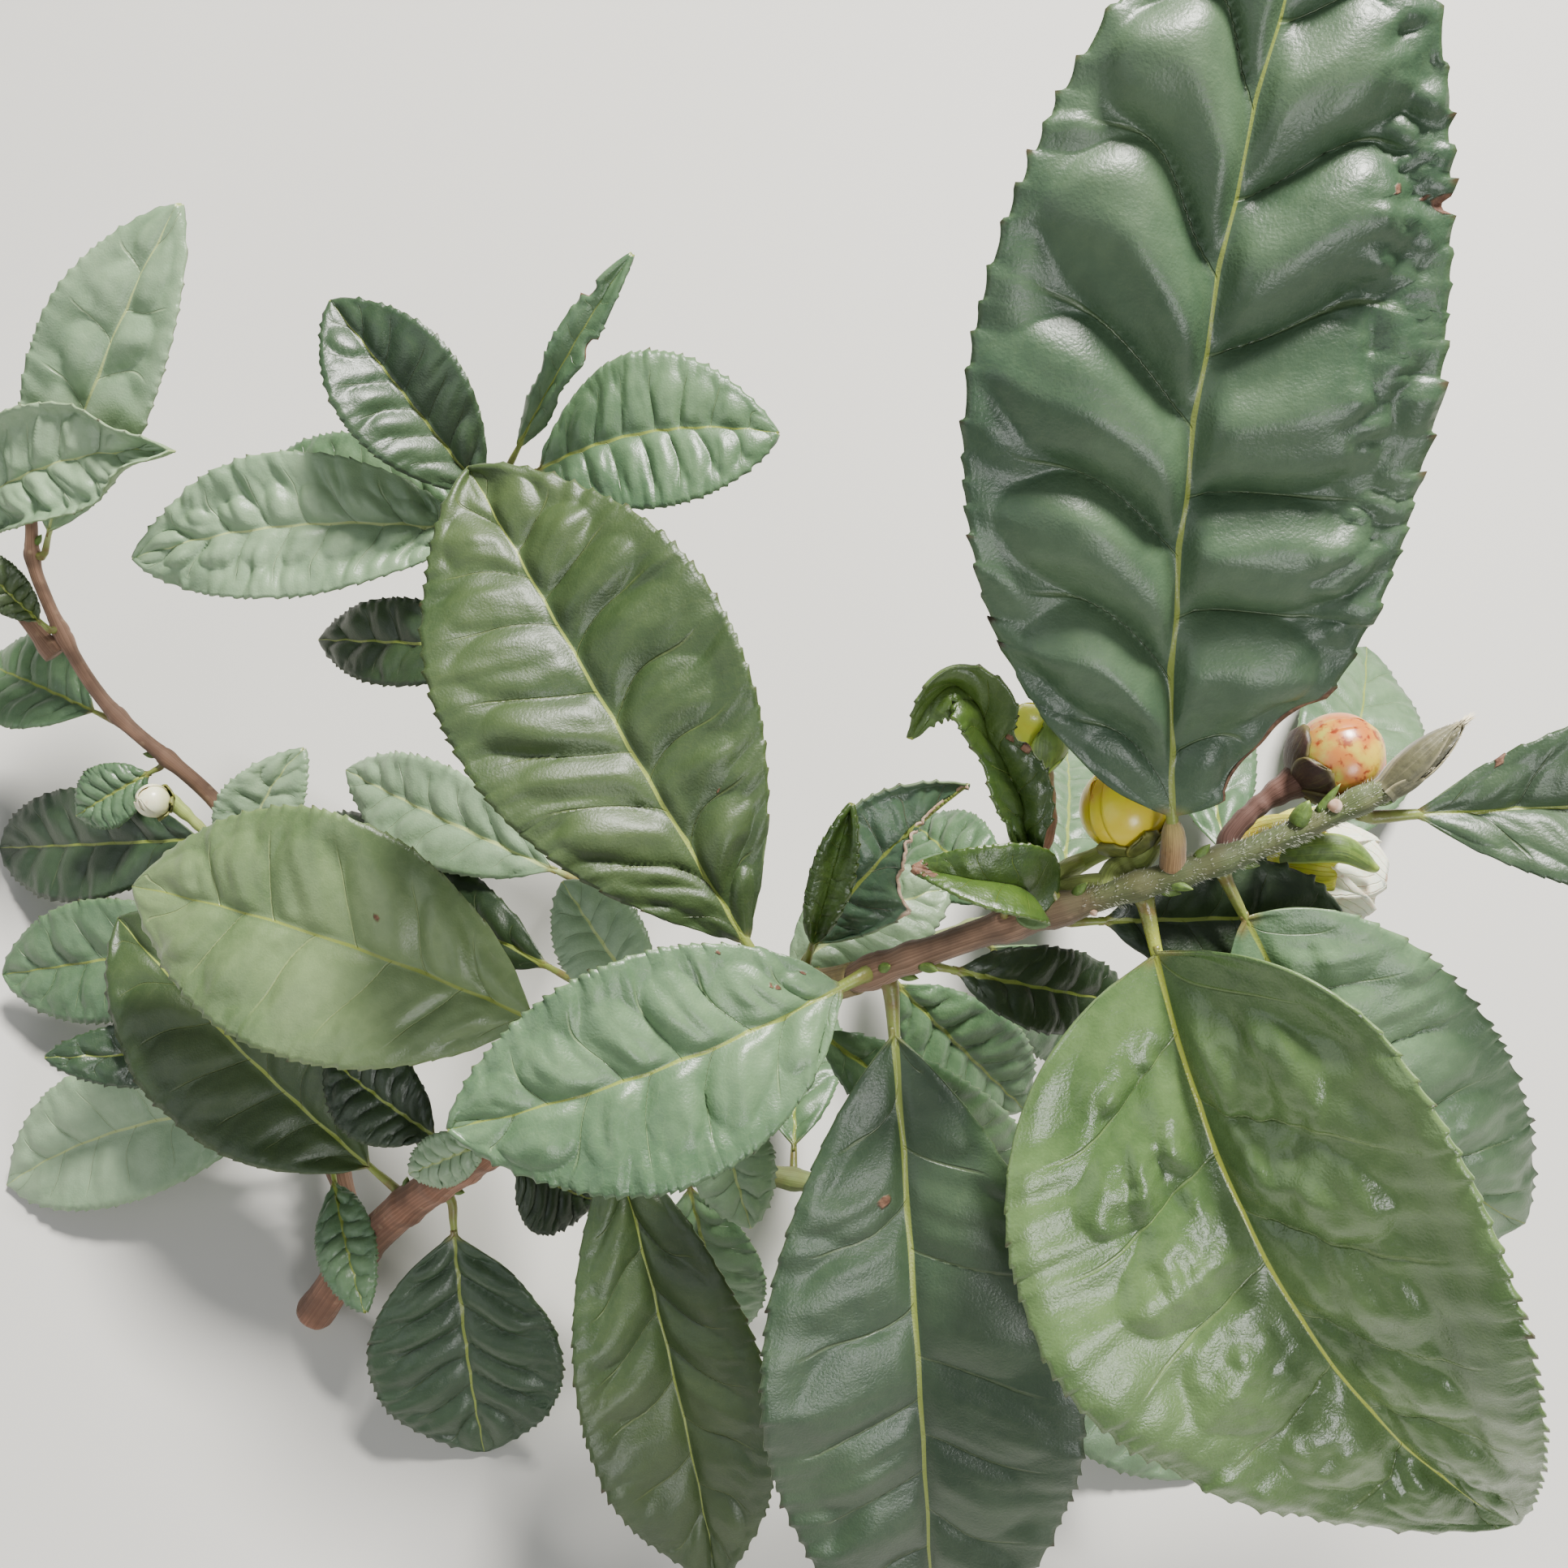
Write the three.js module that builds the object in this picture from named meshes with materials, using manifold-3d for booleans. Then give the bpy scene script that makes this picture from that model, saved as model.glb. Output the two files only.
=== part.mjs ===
// A cut branch of a tea bush with its leaves, flower buds and one opening flower, laid down.
// Millimetres. The branch is drawn in a spray frame: x to the right, y up the spray, z out of it.
// The spray leans back by LEAN_DEG from lying flat and rests on its cut end and its lowest leaves.
import * as THREE from "three";
import * as BufferGeometryUtils from "three/addons/utils/BufferGeometryUtils.js";
import Module from "manifold-3d";

const wasm = await Module();
wasm.setup();

// Where the spray frame lies in the part's frame
const LEAN_DEG = 25;
const SPRAY_AT = [20.6, -13.2, 115.8];

// Clearances and stems
const TOUCH_GAP = 0.3;
const WELD_DISTANCE = 1e-4;
const STEM_SIDES = 8;
const STEM_STEP = 6;
const STEM_ARC_DIVISIONS = 200;
const LIMB_SIDE = [0.3, 0.2, 1];

// Leaves: thickness, leaf stalk and the outline of the blade
const LEAF_THICKNESS = 0.7;
const LEAF_THICKNESS_PER_LENGTH = 0.0108;
const STALK_LENGTH = 4.5;
const STALK_SHARE = 0.13;
const STALK_HALF_WIDTH = 0.7;
const STALK_THICKNESS = 1.3;
const STALK_FOOT_SHARE = 0.7;
const STALK_FADE_SHARE = 1 / 6;
const TIP_HALF_WIDTH = 0.3;
const BLADE_BASE_POWER = 0.72;
const BLADE_TIP_POWER = 0.82;
const BLADE_ARCH = 0.06;
const LARGE_LEAF_WIDTH = 21;
const LARGE_LEAF_CELLS = [4, 10];
const SMALL_LEAF_CELLS = [2, 8];

// Flower buds: rings of the ball from its neck to its crown, and rings of its stalk
const BUD_SIDES = 12;
const BUD_RINGS = 9;
const BUD_NECK_SHARE = 0.92;
const BUD_NECK_DEG = 23.4;
const BUD_CROWN_DEG = 174.6;
const BUD_CROWN_RADIUS = 0.3;
const BUD_STALK_SHARES = [0, 0.45, 0.9];

const FINISHES = {
  bark: { color: 0x7a4f3a, roughness: 0.75 },
  green_stem: { color: 0x6f7d3a, roughness: 0.6 },
  leaf: { color: 0x3c5a3c, roughness: 0.38 },
  young_growth: { color: 0x6f8a3a, roughness: 0.4 },
  yellow_bud: { color: 0xc9b83a, roughness: 0.45 },
  red_bud: { color: 0xcf8a4a, roughness: 0.45 },
  petal: { color: 0xf4efd6, roughness: 0.55 },
};

// Stems in the order they grow: [name, finish, radii at foot and tip, axis points, parent, mm along it].
// A stem with a parent starts clear of the parent's side, or of its end where no distance is given,
// and its points are those after the start. The last three are the twigs of the leafy masses.
const STEMS = [
  ["main_stem", "bark", [2.9, 1.75],
    [[-71, -80, -88], [-60, -66, -79], [-46, -54, -68], [-26, -40, -50], [-4, -25, -27], [7, -20.3, -13.5]]],
  ["flowering_shoot", "green_stem", [1.7, 1.25],
    [[19.6, -14.8, -6], [37, -8.9, -1], [46, -5.7, 0], [56.1, -0.7, 2]], "main_stem"],
  ["flower_twig", "green_stem", [1.3, 1], [[27, -8.8, -5], [29.6, -7.8, -6.5]], "flowering_shoot", 18],
  ["centre_shoot", "green_stem", [1.6, 1], [[-25, -5, -58], [-32, 20, -68], [-41, 45, -75]], "main_stem", 72],
  ["far_left_shoot", "bark", [1.9, 1.1],
    [[-74, -40, -92], [-82, -20, -95], [-88, -4, -96], [-106, 13, -95], [-115, 31, -93], [-115, 41, -90]],
    "main_stem", 17],
  ["left_twig", "leaf", [1.2, 0.9], [[-124, 34, -92], [-134, 41, -88]], "far_left_shoot", 104],
  ["lower_twig", "leaf", [1.6, 1.1], [[-12, -52, -66], [14, -58, -72], [38, -62, -74]], "main_stem", 58],
  ["upper_twig", "leaf", [1.5, 1.1],
    [[4, -25, -45], [26, -20, -66], [50, -16, -86], [92, -14, -109]], "main_stem", 88],
];

// Leaves: [name, stem, mm along the stem, tip, width, shape]. The shape holds degrees of roll and fold,
// and the share of the length by which the middle of the midrib bows out of the leaf and to its side.
const LEAVES = [
  ["leaf_tall_top", "flowering_shoot", 35, [43, 77, 33], 41, { fold: 8, side: -0.06, arch: 0.04 }],
  ["leaf_broad_right", "flowering_shoot", 31, [79, -80, -20], 47,
    { fold: 26, roll: 24, side: 0.07, arch: 0.1, base: 0.45 }],
  ["leaf_under_broad", "flowering_shoot", 39, [81, -48, -22], 24, { fold: 10, side: 0.08 }],
  ["leaf_dark_under_stem", "flowering_shoot", 23, [56, -13, -8], 12, { fold: 10 }],
  ["leaf_hanging_middle", "flowering_shoot", 3, [17.6, -101, -35], 35, { fold: 14 }],
  ["leaf_hanging_left", "main_stem", 75, [-9, -106, -60], 26, { fold: 25, side: -0.02 }],
  ["leaf_flat_middle", "flowering_shoot", 2, [-33, -34, -5], 23.5, { fold: 12, side: -0.03, stalk: 2.5 }],
  ["leaf_tall_left", "main_stem", 112, [-36, 36, -30], 34, { fold: 14 }],
  ["leaf_wide_left", "centre_shoot", 5, [-89, -14, -65], 33, { fold: 12, side: 0.04 }],
  ["leaf_under_wide_left", "main_stem", 30, [-99, -20, -84], 28, { fold: 12 }],
  ["leaf_curled", "flowering_shoot", 23, [12, 5, 6], 12, { fold: 40, side: 0.25, skew: 2, arch: 0 }],
  ["leaf_boat", "flowering_shoot", 18, [12.4, -8, 3], 8, { fold: 30 }],
  ["leaf_right_end", "flowering_shoot", 53, [113, 0, -5], 22, { fold: 25 }],
  ["leaf_brown_edged", "main_stem", 115, [19.6, 0, -18], 13, { fold: 10, side: -0.06 }],
  ["leaf_pale_low", "main_stem", 108, [19, -12, -32], 12, { fold: 8, side: -0.08 }],
  ["leaf_small_twisted", "main_stem", 118, [7, -2, -13], 5, { fold: 30 }],
  ["leaf_shaded_short", "flowering_shoot", 7, [38, -24, -22], 9, { fold: 10 }],
  ["leaf_pale_narrow", "main_stem", 111, [32, -50, -45], 11, { fold: 10 }],
  ["leaf_small_hanging", "main_stem", 96, [-4, -53, -38], 10, { fold: 10 }],
  ["leaf_pale_between", "main_stem", 92, [-27, -12, -42], 11, { fold: 10 }],
  ["leaf_centre_1", "centre_shoot", 80, [-62, 66, -65], 20, { fold: 30 }],
  ["leaf_centre_2", "centre_shoot", 85, [-1, 48, -65], 22, { fold: 12, side: -0.08 }],
  ["leaf_centre_3", "centre_shoot", 87, [-20, 69, -55], 5, { fold: 25 }],
  ["leaf_centre_4", "centre_shoot", 78, [-95, 33, -80], 21, { fold: 14, side: 0.05 }],
  ["leaf_centre_5", "centre_shoot", 80, [-77, 49, -88], 14, { fold: 12 }],
  ["leaf_centre_6", "centre_shoot", 60, [-71, 22, -90], 13, { fold: 12 }],
  ["leaf_mid_left_1", "far_left_shoot", 50, [-72, 5, -85], 13, { fold: 12, side: -0.15 }],
  ["leaf_mid_left_2", "centre_shoot", 25, [-64, 2, -80], 14, { fold: 12 }],
  ["leaf_far_left_1", "far_left_shoot", 118, [-85, 81, -70], 21, { fold: 16 }],
  ["leaf_far_left_3", "far_left_shoot", 106, [-121, 35, -82], 7, { fold: 14 }],
  ["leaf_far_left_4", "far_left_shoot", 90, [-133, 20, -112], 17, { fold: 14, roll: 15 }],
  ["leaf_far_left_5", "far_left_shoot", 80, [-112, -5, -99], 10, { fold: 14 }],
  ["leaf_far_left_6", "far_left_shoot", 64, [-135, -11, -121], 19, { fold: 14 }],
  ["leaf_far_left_7", "far_left_shoot", 48, [-127, -31, -106], 20, { fold: 14 }],
  ["leaf_far_left_8", "far_left_shoot", 20, [-122, -63, -97], 22, { fold: 14, side: 0.08 }],
  ["leaf_low_1", "main_stem", 38, [-44, -98, -81], 28, { fold: 12 }],
  ["leaf_low_2", "far_left_shoot", 9, [-59, -74, -71], 9, { fold: 12 }],
  ["leaf_low_3", "far_left_shoot", 14, [-83, -50, -82], 9, { fold: 12 }],
  ["leaf_low_4", "main_stem", 50, [-26, -59, -72], 14, { fold: 12 }],
  ["leaf_low_5", "main_stem", 45, [-64, -38, -70], 13, { fold: 12 }],
  ["leaf_centre_7", "centre_shoot", 40, [-28, 2, -100], 15, { fold: 12 }],
  ["leaf_centre_8", "centre_shoot", 70, [-35, 28, -106], 15, { fold: 12 }],
  ["leaf_mid_left_3", "centre_shoot", 12, [-72, -6, -88], 15, { fold: 12 }],
  ["leaf_far_left_9", "far_left_shoot", 30, [-108, -40, -80], 10, { fold: 14 }],
  ["leaf_low_6", "main_stem", 58, [-50, -52, -60], 7, { fold: 12 }],
];

// Leaves of the three leafy twigs, in the same form. Each is fused to its twig, as one mass of leaves.
const TWIG_LEAVES = [
  ["behind_bud", "upper_twig", 126, [107, 25, -139], 23, { fold: 8 }],
  ["behind_yellow_bud", "upper_twig", 70, [47, 6, -112], 16, { fold: 8 }],
  ["upper_3", "upper_twig", 30, [34, -46, -72], 15, { fold: 12 }],
  ["upper_4", "upper_twig", 50, [52, -42, -98], 16, { fold: 12 }],
  ["upper_5", "upper_twig", 92, [88, -36, -108], 17, { fold: 12 }],
  ["upper_6", "upper_twig", 105, [70, 22, -130], 17, { fold: 12 }],
  ["upper_7", "upper_twig", 60, [20, -6, -94], 14, { fold: 12 }],
  ["pale_foot", "lower_twig", 70, [61, -101, -80], 26, { fold: 8 }],
  ["low_hanging", "lower_twig", 50, [20, -95, -78], 19, { fold: 12 }],
  ["low_right", "lower_twig", 76, [78, -52, -86], 20, { fold: 12, roll: -15 }],
  ["lower_4", "lower_twig", 20, [-8, -82, -84], 15, { fold: 12 }],
  ["lower_5", "lower_twig", 36, [2, -30, -92], 14, { fold: 12 }],
  ["lower_6", "lower_twig", 60, [50, -78, -60], 15, { fold: 12 }],
  ["far_left_2", "left_twig", 22, [-86, 47, -72], 17, { fold: 14, side: -0.08 }],
  ["left_2", "left_twig", 12, [-150, 24, -104], 15, { fold: 12 }],
  ["left_3", "left_twig", 28, [-154, 58, -80], 15, { fold: 12 }],
  ["left_4", "left_twig", 27, [-128, 72, -84], 15, { fold: 12 }],
];

// Flower buds: [name, finish, stem, mm along it, radius of its stalk, point on the stalk, centre, radius]
const BUDS = [
  ["bud_red", "red_bud", "flowering_shoot", 41, 1, [47, -1.5, -3], [53.6, 2.6, -2], 4.4],
  ["bud_yellow", "yellow_bud", "flowering_shoot", 29, 1.2, [35, -6.5, -4], [33.2, -2.4, -4], 4.3],
  ["bud_green", "yellow_bud", "flower_twig", 4, 0.8, [26.2, -3.4, -5.5], [24.2, 4.6, -5], 3.4],
  ["bud_far_left", "petal", "far_left_shoot", 62, 0.8, [-94, -3, -92], [-96, -2.6, -89], 2.6],
];

// Terminal bud of the flowering shoot: its radius follows part of a half sine wave
const TERMINAL_TIP = [63.6, 6.1, 4];
const TERMINAL_RADIUS = 1.7;
const TERMINAL_WAVE = [0.22, 0.97];
const TERMINAL_STEP = 1.2;

// Opening flower: mm along the flowering shoot, centre of its cup, and where its axis points
const FLOWER_ALONG = 45;
const FLOWER_CENTRE = [49.5, -7, -14];
const FLOWER_AXIS = [0.9, -0.25, -0.35];
const FLOWER_CUP_RADIUS = 3.2;
const FLOWER_CUP_SHARE = 0.96;
const FLOWER_STALK_RADIUS = 1.1;
const FLOWER_STEP = 1.1;
const PETAL_COUNT = 6;
const PETAL_LENGTH = 10.5;
const PETAL_WIDTH = 9.5;
const PETAL_OPENING_DEG = 32;
const PETAL_FOOT_RADIUS = 1.2;
const PETAL_THICKNESS = 0.7;
const PETAL_CELLS = [4, 5];
const PETAL_SHAPE = { fold: 18, arch: -0.12 };

const vector = (values) => new THREE.Vector3(...values);

// A copy of a geometry with each vertex moved by place(x, y, z), closed by joining shared vertices
function reshaped(geometry, place) {
  const position = geometry.getAttribute("position");
  for (let i = 0; i < position.count; i += 1) {
    const to = place(position.getX(i), position.getY(i), position.getZ(i));
    position.setXYZ(i, to.x, to.y, to.z);
  }
  geometry.deleteAttribute("normal");
  geometry.deleteAttribute("uv");
  return BufferGeometryUtils.mergeVertices(geometry, WELD_DISTANCE);
}

// A unit vector at right angles to an axis, as near as can be to the wanted direction
function squareTo(axis, wanted) {
  return wanted.clone().addScaledVector(axis, -wanted.dot(axis)).normalize();
}

// A round limb along a curve: stations are mm along it, and radiusAt gives the radius at each
function limb(curve, stations, radiusAt, sides) {
  const length = curve.getLength();
  const last = stations.length - 1;
  let side = vector(LIMB_SIDE);
  const rings = stations.map((along) => {
    const share = Math.min(along / length, 1);
    const tangent = curve.getTangentAt(share);
    const centre = curve.getPointAt(share).addScaledVector(tangent, Math.max(along - length, 0));
    side = squareTo(tangent, side);
    return { centre, side, up: side.clone().cross(tangent), radius: radiusAt(along) };
  });
  return reshaped(new THREE.CylinderGeometry(1, 1, 1, sides, last), (x, y, z) => {
    const ring = rings[Math.round((y + 0.5) * last)];
    return ring.centre
      .clone()
      .addScaledVector(ring.side, ring.radius * x)
      .addScaledVector(ring.up, ring.radius * z);
  });
}

function evenStations(length, step) {
  const count = Math.max(2, Math.round(length / step));
  return Array.from({ length: count + 1 }, (_, i) => (length * i) / count);
}

// Where something that leans towards a point meets the side of a stem, just clear of it
function seatOn(stem, along, towards, endRadius) {
  const share = Math.min(along / stem.length, 1);
  const centre = stem.curve.getPointAt(share);
  const tangent = stem.curve.getTangentAt(share);
  const heading = towards.clone().sub(centre).normalize();
  const out = squareTo(tangent, heading);
  const obliqueness = Math.abs(heading.dot(tangent));
  const distance = stem.radiusAt(along) + TOUCH_GAP + endRadius * obliqueness;
  return centre.addScaledVector(out, distance);
}

// Where something that carries on towards a point starts, just clear of a stem's flat end
function seatBeyond(stem, towards, endRadius) {
  const end = stem.curve.getPointAt(1);
  const tangent = stem.curve.getTangentAt(1);
  const heading = towards.clone().sub(end).normalize();
  const tilt = heading.cross(tangent).length();
  return end.addScaledVector(tangent, TOUCH_GAP + endRadius * tilt);
}

function growStem([name, finish, radii, points, parentName, along], stems) {
  const axis = points.map(vector);
  if (parentName) {
    const parent = stems.get(parentName);
    const continues = along === undefined;
    axis.unshift(
      continues ? seatBeyond(parent, axis[0], radii[0]) : seatOn(parent, along, axis[0], radii[0]),
    );
  }
  const curve = new THREE.CatmullRomCurve3(axis, false, "catmullrom", 0.5);
  curve.arcLengthDivisions = STEM_ARC_DIVISIONS;
  const length = curve.getLength();
  const radiusAt = (at) => THREE.MathUtils.lerp(radii[0], radii[1], at / length);
  return { name, finish, curve, length, radiusAt };
}

// Half the width of a leaf blade at a share of its length
function bladeHalfWidth(share, width, base) {
  const peak = base / (base + BLADE_TIP_POWER);
  const shape = (u) => u ** base * (1 - u) ** BLADE_TIP_POWER;
  return (width / 2) * (shape(THREE.MathUtils.clamp(share, 0, 1)) / shape(peak));
}

// A leaf or petal: a thin closed blade folded along a bowed midrib, with a stalk at its foot
function blade({ foot, tip, width, facing, cells, thickness, stalk, shape }) {
  const { roll = 0, fold = 0, arch = BLADE_ARCH, side = 0, skew = 1, base = BLADE_BASE_POWER } = shape;
  const chord = tip.clone().sub(foot);
  const length = chord.length();
  const along = chord.clone().normalize();
  const face = squareTo(along, facing).applyAxisAngle(along, THREE.MathUtils.degToRad(roll));
  const across = along.clone().cross(face);
  const foldAngle = THREE.MathUtils.degToRad(fold);
  const stalkShare = stalk / length;
  const [columns, rows] = cells;
  return reshaped(new THREE.BoxGeometry(2, 1, 1, columns, rows, 1), (x, y, z) => {
    const share = y + 0.5;
    const bow = 4 * share ** skew * (1 - share ** skew) * length;
    const bladeShare = (share - stalkShare) / (1 - stalkShare);
    const least = share < 0.5 ? STALK_HALF_WIDTH : TIP_HALF_WIDTH;
    const footShare = share === 0 ? STALK_FOOT_SHARE : 1;
    const half = Math.max(bladeHalfWidth(bladeShare, width, base), least) * footShare;
    const stalkBlend = THREE.MathUtils.clamp(1 - bladeShare / STALK_FADE_SHARE, 0, 1);
    const depth = THREE.MathUtils.lerp(thickness, Math.max(STALK_THICKNESS, thickness), stalkBlend);
    const rise = half > STALK_HALF_WIDTH ? Math.abs(x) * half * Math.sin(foldAngle) : 0;
    return foot
      .clone()
      .addScaledVector(chord, share)
      .addScaledVector(face, bow * arch + rise + z * depth * footShare)
      .addScaledVector(across, bow * side + x * half * Math.cos(foldAngle));
  });
}

function leafGeometry([, stemName, along, tipAt, width, shape], stems, isFused) {
  const tip = vector(tipAt);
  const stem = stems.get(stemName);
  const onAxis = stem.curve.getPointAt(Math.min(along / stem.length, 1));
  const foot = isFused ? onAxis : seatOn(stem, along, tip, STALK_HALF_WIDTH);
  const length = foot.distanceTo(tip);
  return blade({
    foot,
    tip,
    width,
    shape,
    facing: new THREE.Vector3(0, 0, 1),
    cells: width > LARGE_LEAF_WIDTH ? LARGE_LEAF_CELLS : SMALL_LEAF_CELLS,
    thickness: Math.max(LEAF_THICKNESS, length * LEAF_THICKNESS_PER_LENGTH),
    stalk: shape.stalk ?? Math.min(STALK_LENGTH, length * STALK_SHARE),
  });
}

// A round bud on a bent stalk: the stalk's radius widens into the ball
function budGeometry([, , stemName, along, stalkRadius, bend, centreAt, radius], stems) {
  const centre = vector(centreAt);
  const foot = seatOn(stems.get(stemName), along, vector(bend), stalkRadius);
  const curve = new THREE.CatmullRomCurve3([foot, vector(bend), centre], false, "catmullrom", 0.5);
  const length = curve.getLength();
  const neck = length - radius * BUD_NECK_SHARE;
  const stalk = BUD_STALK_SHARES.map((share) => neck * share);
  const ball = Array.from({ length: BUD_RINGS }, (_, i) => {
    const degrees = THREE.MathUtils.lerp(BUD_NECK_DEG, BUD_CROWN_DEG, i / (BUD_RINGS - 1));
    return length - radius * Math.cos(THREE.MathUtils.degToRad(degrees));
  });
  const radiusAt = (at) => {
    const ballRadius = Math.sqrt(Math.max(radius ** 2 - (at - length) ** 2, 0));
    return Math.max(ballRadius, at < length ? stalkRadius : BUD_CROWN_RADIUS);
  };
  return limb(curve, [...stalk, ...ball], radiusAt, BUD_SIDES);
}

function terminalBudGeometry(shoot) {
  const tip = vector(TERMINAL_TIP);
  const curve = new THREE.LineCurve3(seatBeyond(shoot, tip, TERMINAL_RADIUS), tip);
  const length = curve.getLength();
  const radiusAt = (at) =>
    TERMINAL_RADIUS * Math.sin(Math.PI * THREE.MathUtils.lerp(...TERMINAL_WAVE, at / length));
  return limb(curve, evenStations(length, TERMINAL_STEP), radiusAt, BUD_SIDES);
}

function solidFrom(geometry) {
  const mesh = new wasm.Mesh({
    numProp: 3,
    vertProperties: geometry.getAttribute("position").array,
    triVerts: new Uint32Array(geometry.index.array),
  });
  return new wasm.Manifold(mesh);
}

function geometryFrom(solid) {
  const mesh = solid.getMesh();
  return new THREE.BufferGeometry()
    .setAttribute("position", new THREE.BufferAttribute(mesh.vertProperties, 3))
    .setIndex(new THREE.BufferAttribute(mesh.triVerts, 1));
}

// The opening flower: a stalk with a round cup, and petals whose feet are sunk in the cup
function flowerGeometry(shoot) {
  const centre = vector(FLOWER_CENTRE);
  const axis = vector(FLOWER_AXIS).normalize();
  const foot = seatOn(shoot, FLOWER_ALONG, centre, FLOWER_STALK_RADIUS);
  const curve = new THREE.LineCurve3(foot, centre);
  const length = curve.getLength();
  const ballRadius = (at) => Math.sqrt(Math.max(FLOWER_CUP_RADIUS ** 2 - (at - length) ** 2, 0));
  const stations = evenStations(length + FLOWER_CUP_RADIUS * FLOWER_CUP_SHARE, FLOWER_STEP);
  const radiusAt = (at) => Math.max(ballRadius(at), FLOWER_STALK_RADIUS);
  let flower = solidFrom(limb(curve, stations, radiusAt, BUD_SIDES));
  const outward = squareTo(axis, new THREE.Vector3(0, 0, 1));
  const opening = THREE.MathUtils.degToRad(PETAL_OPENING_DEG);
  for (let i = 0; i < PETAL_COUNT; i += 1) {
    const around = outward.clone().applyAxisAngle(axis, (2 * Math.PI * i) / PETAL_COUNT);
    const heading = axis
      .clone()
      .multiplyScalar(Math.cos(opening))
      .addScaledVector(around, Math.sin(opening));
    const petal = blade({
      foot: centre.clone().addScaledVector(around, PETAL_FOOT_RADIUS),
      tip: centre.clone().addScaledVector(heading, PETAL_LENGTH),
      width: PETAL_WIDTH,
      facing: around.clone().negate(),
      cells: PETAL_CELLS,
      thickness: PETAL_THICKNESS,
      stalk: 0,
      shape: PETAL_SHAPE,
    });
    flower = flower.add(solidFrom(petal));
  }
  return geometryFrom(flower);
}

const spray = new THREE.Group();
spray.rotation.x = THREE.MathUtils.degToRad(LEAN_DEG);
spray.position.set(...SPRAY_AT);

function place(name, finish, geometry) {
  const mesh = new THREE.Mesh(geometry, new THREE.MeshStandardMaterial(FINISHES[finish]));
  mesh.name = name;
  spray.add(mesh);
}

function stemGeometry(stem, stems) {
  const wood = limb(stem.curve, evenStations(stem.length, STEM_STEP), stem.radiusAt, STEM_SIDES);
  const leaves = TWIG_LEAVES.filter(([, stemName]) => stemName === stem.name);
  if (leaves.length === 0) {
    return wood;
  }
  const addLeaf = (mass, row) => mass.add(solidFrom(leafGeometry(row, stems, true)));
  return geometryFrom(leaves.reduce(addLeaf, solidFrom(wood)));
}

const stems = new Map();
for (const row of STEMS) {
  const stem = growStem(row, stems);
  stems.set(stem.name, stem);
  place(stem.name, stem.finish, stemGeometry(stem, stems));
}
for (const row of LEAVES) {
  place(row[0], "leaf", leafGeometry(row, stems, false));
}
for (const row of BUDS) {
  place(row[0], row[1], budGeometry(row, stems));
}
place("bud_terminal", "young_growth", terminalBudGeometry(stems.get("flowering_shoot")));
place("flower_opening", "petal", flowerGeometry(stems.get("flowering_shoot")));

const branch = new THREE.Group();
branch.add(spray);

export default branch;
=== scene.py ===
"""A cut, leafy branch of a tea bush with flower buds, laid down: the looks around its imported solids.

Tables are in millimetres in the spray's own frame, as in the part's source: x to the right, y up the
spray, z out of it. Meshes are made in metres in the part's frame.
"""

import logging
import math
import random
from collections.abc import Callable, Iterable, Sequence
from dataclasses import dataclass, field
from enum import Enum
from functools import cache, cached_property

import bmesh
import bpy
from mathutils import Matrix, Vector, noise


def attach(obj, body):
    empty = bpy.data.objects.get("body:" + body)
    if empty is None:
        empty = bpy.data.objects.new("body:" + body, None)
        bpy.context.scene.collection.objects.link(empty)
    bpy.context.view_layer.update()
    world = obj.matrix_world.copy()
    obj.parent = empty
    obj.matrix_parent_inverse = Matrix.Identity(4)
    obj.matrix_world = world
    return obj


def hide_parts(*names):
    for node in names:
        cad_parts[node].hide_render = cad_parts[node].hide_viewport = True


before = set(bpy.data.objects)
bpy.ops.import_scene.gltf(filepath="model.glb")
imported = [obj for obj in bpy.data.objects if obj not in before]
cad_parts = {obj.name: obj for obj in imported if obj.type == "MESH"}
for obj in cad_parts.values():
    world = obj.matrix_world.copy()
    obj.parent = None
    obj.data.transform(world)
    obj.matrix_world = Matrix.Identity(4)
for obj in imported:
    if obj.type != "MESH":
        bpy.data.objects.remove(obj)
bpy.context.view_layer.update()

LOG = logging.getLogger("tea_branch")
BODY = "root"
BAKE_MAP = "OFBake"
WHOLE = (0.0, 1.0, 0.0, 1.0)
MAIN = "main_stem"
SHOOT = "flowering_shoot"
CENTRE = "centre_shoot"
FAR_LEFT = "far_left_shoot"
TWIGS = UPPER, LOWER, LEFT = "upper_twig", "lower_twig", "left_twig"

MM = 0.001
LEAN = math.radians(25)
SPRAY_AT = Vector((20.6, -13.2, 115.8))
TO_PART = Matrix.Scale(MM, 4) @ Matrix.Translation(SPRAY_AT) @ Matrix.Rotation(LEAN, 4, "X")
OUT_OF_SPRAY = Vector((0, 0, 1))
UPWARD = Vector((0, math.sin(LEAN), math.cos(LEAN)))
FLOOR_CLEARANCE = 0.42
SAME_PLACE = 1e-6
MERGE_DISTANCE = 1e-5
TANGENT_STEP = 1e-3

# The bake picture: free edge of a small box, and where the sides of a blade lie in its box
SMALL_EDGE = 0.08
UPPER_PART = (0.02, 0.475, 0.015)
UNDER_PART = (0.525, 0.98, 0.015)
RIM_SHARE = 0.008

# Clearances and shapes that the solids share
TOUCH_GAP = 0.3
ARC_DIVISIONS = 200
LIMB_SIDE = Vector((0.3, 0.2, 1))
STALK_LENGTH = 4.5
STALK_SHARE = 0.13
STALK_HALF_WIDTH = 0.7
TOOTHED_HALF_WIDTH = 0.8
THINNEST_RIB = 0.13
NEAR_END = 0.999
BLADE_BASE_POWER = 0.72
BLADE_TIP_POWER = 0.82
BLADE_ARCH = 0.06

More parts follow.
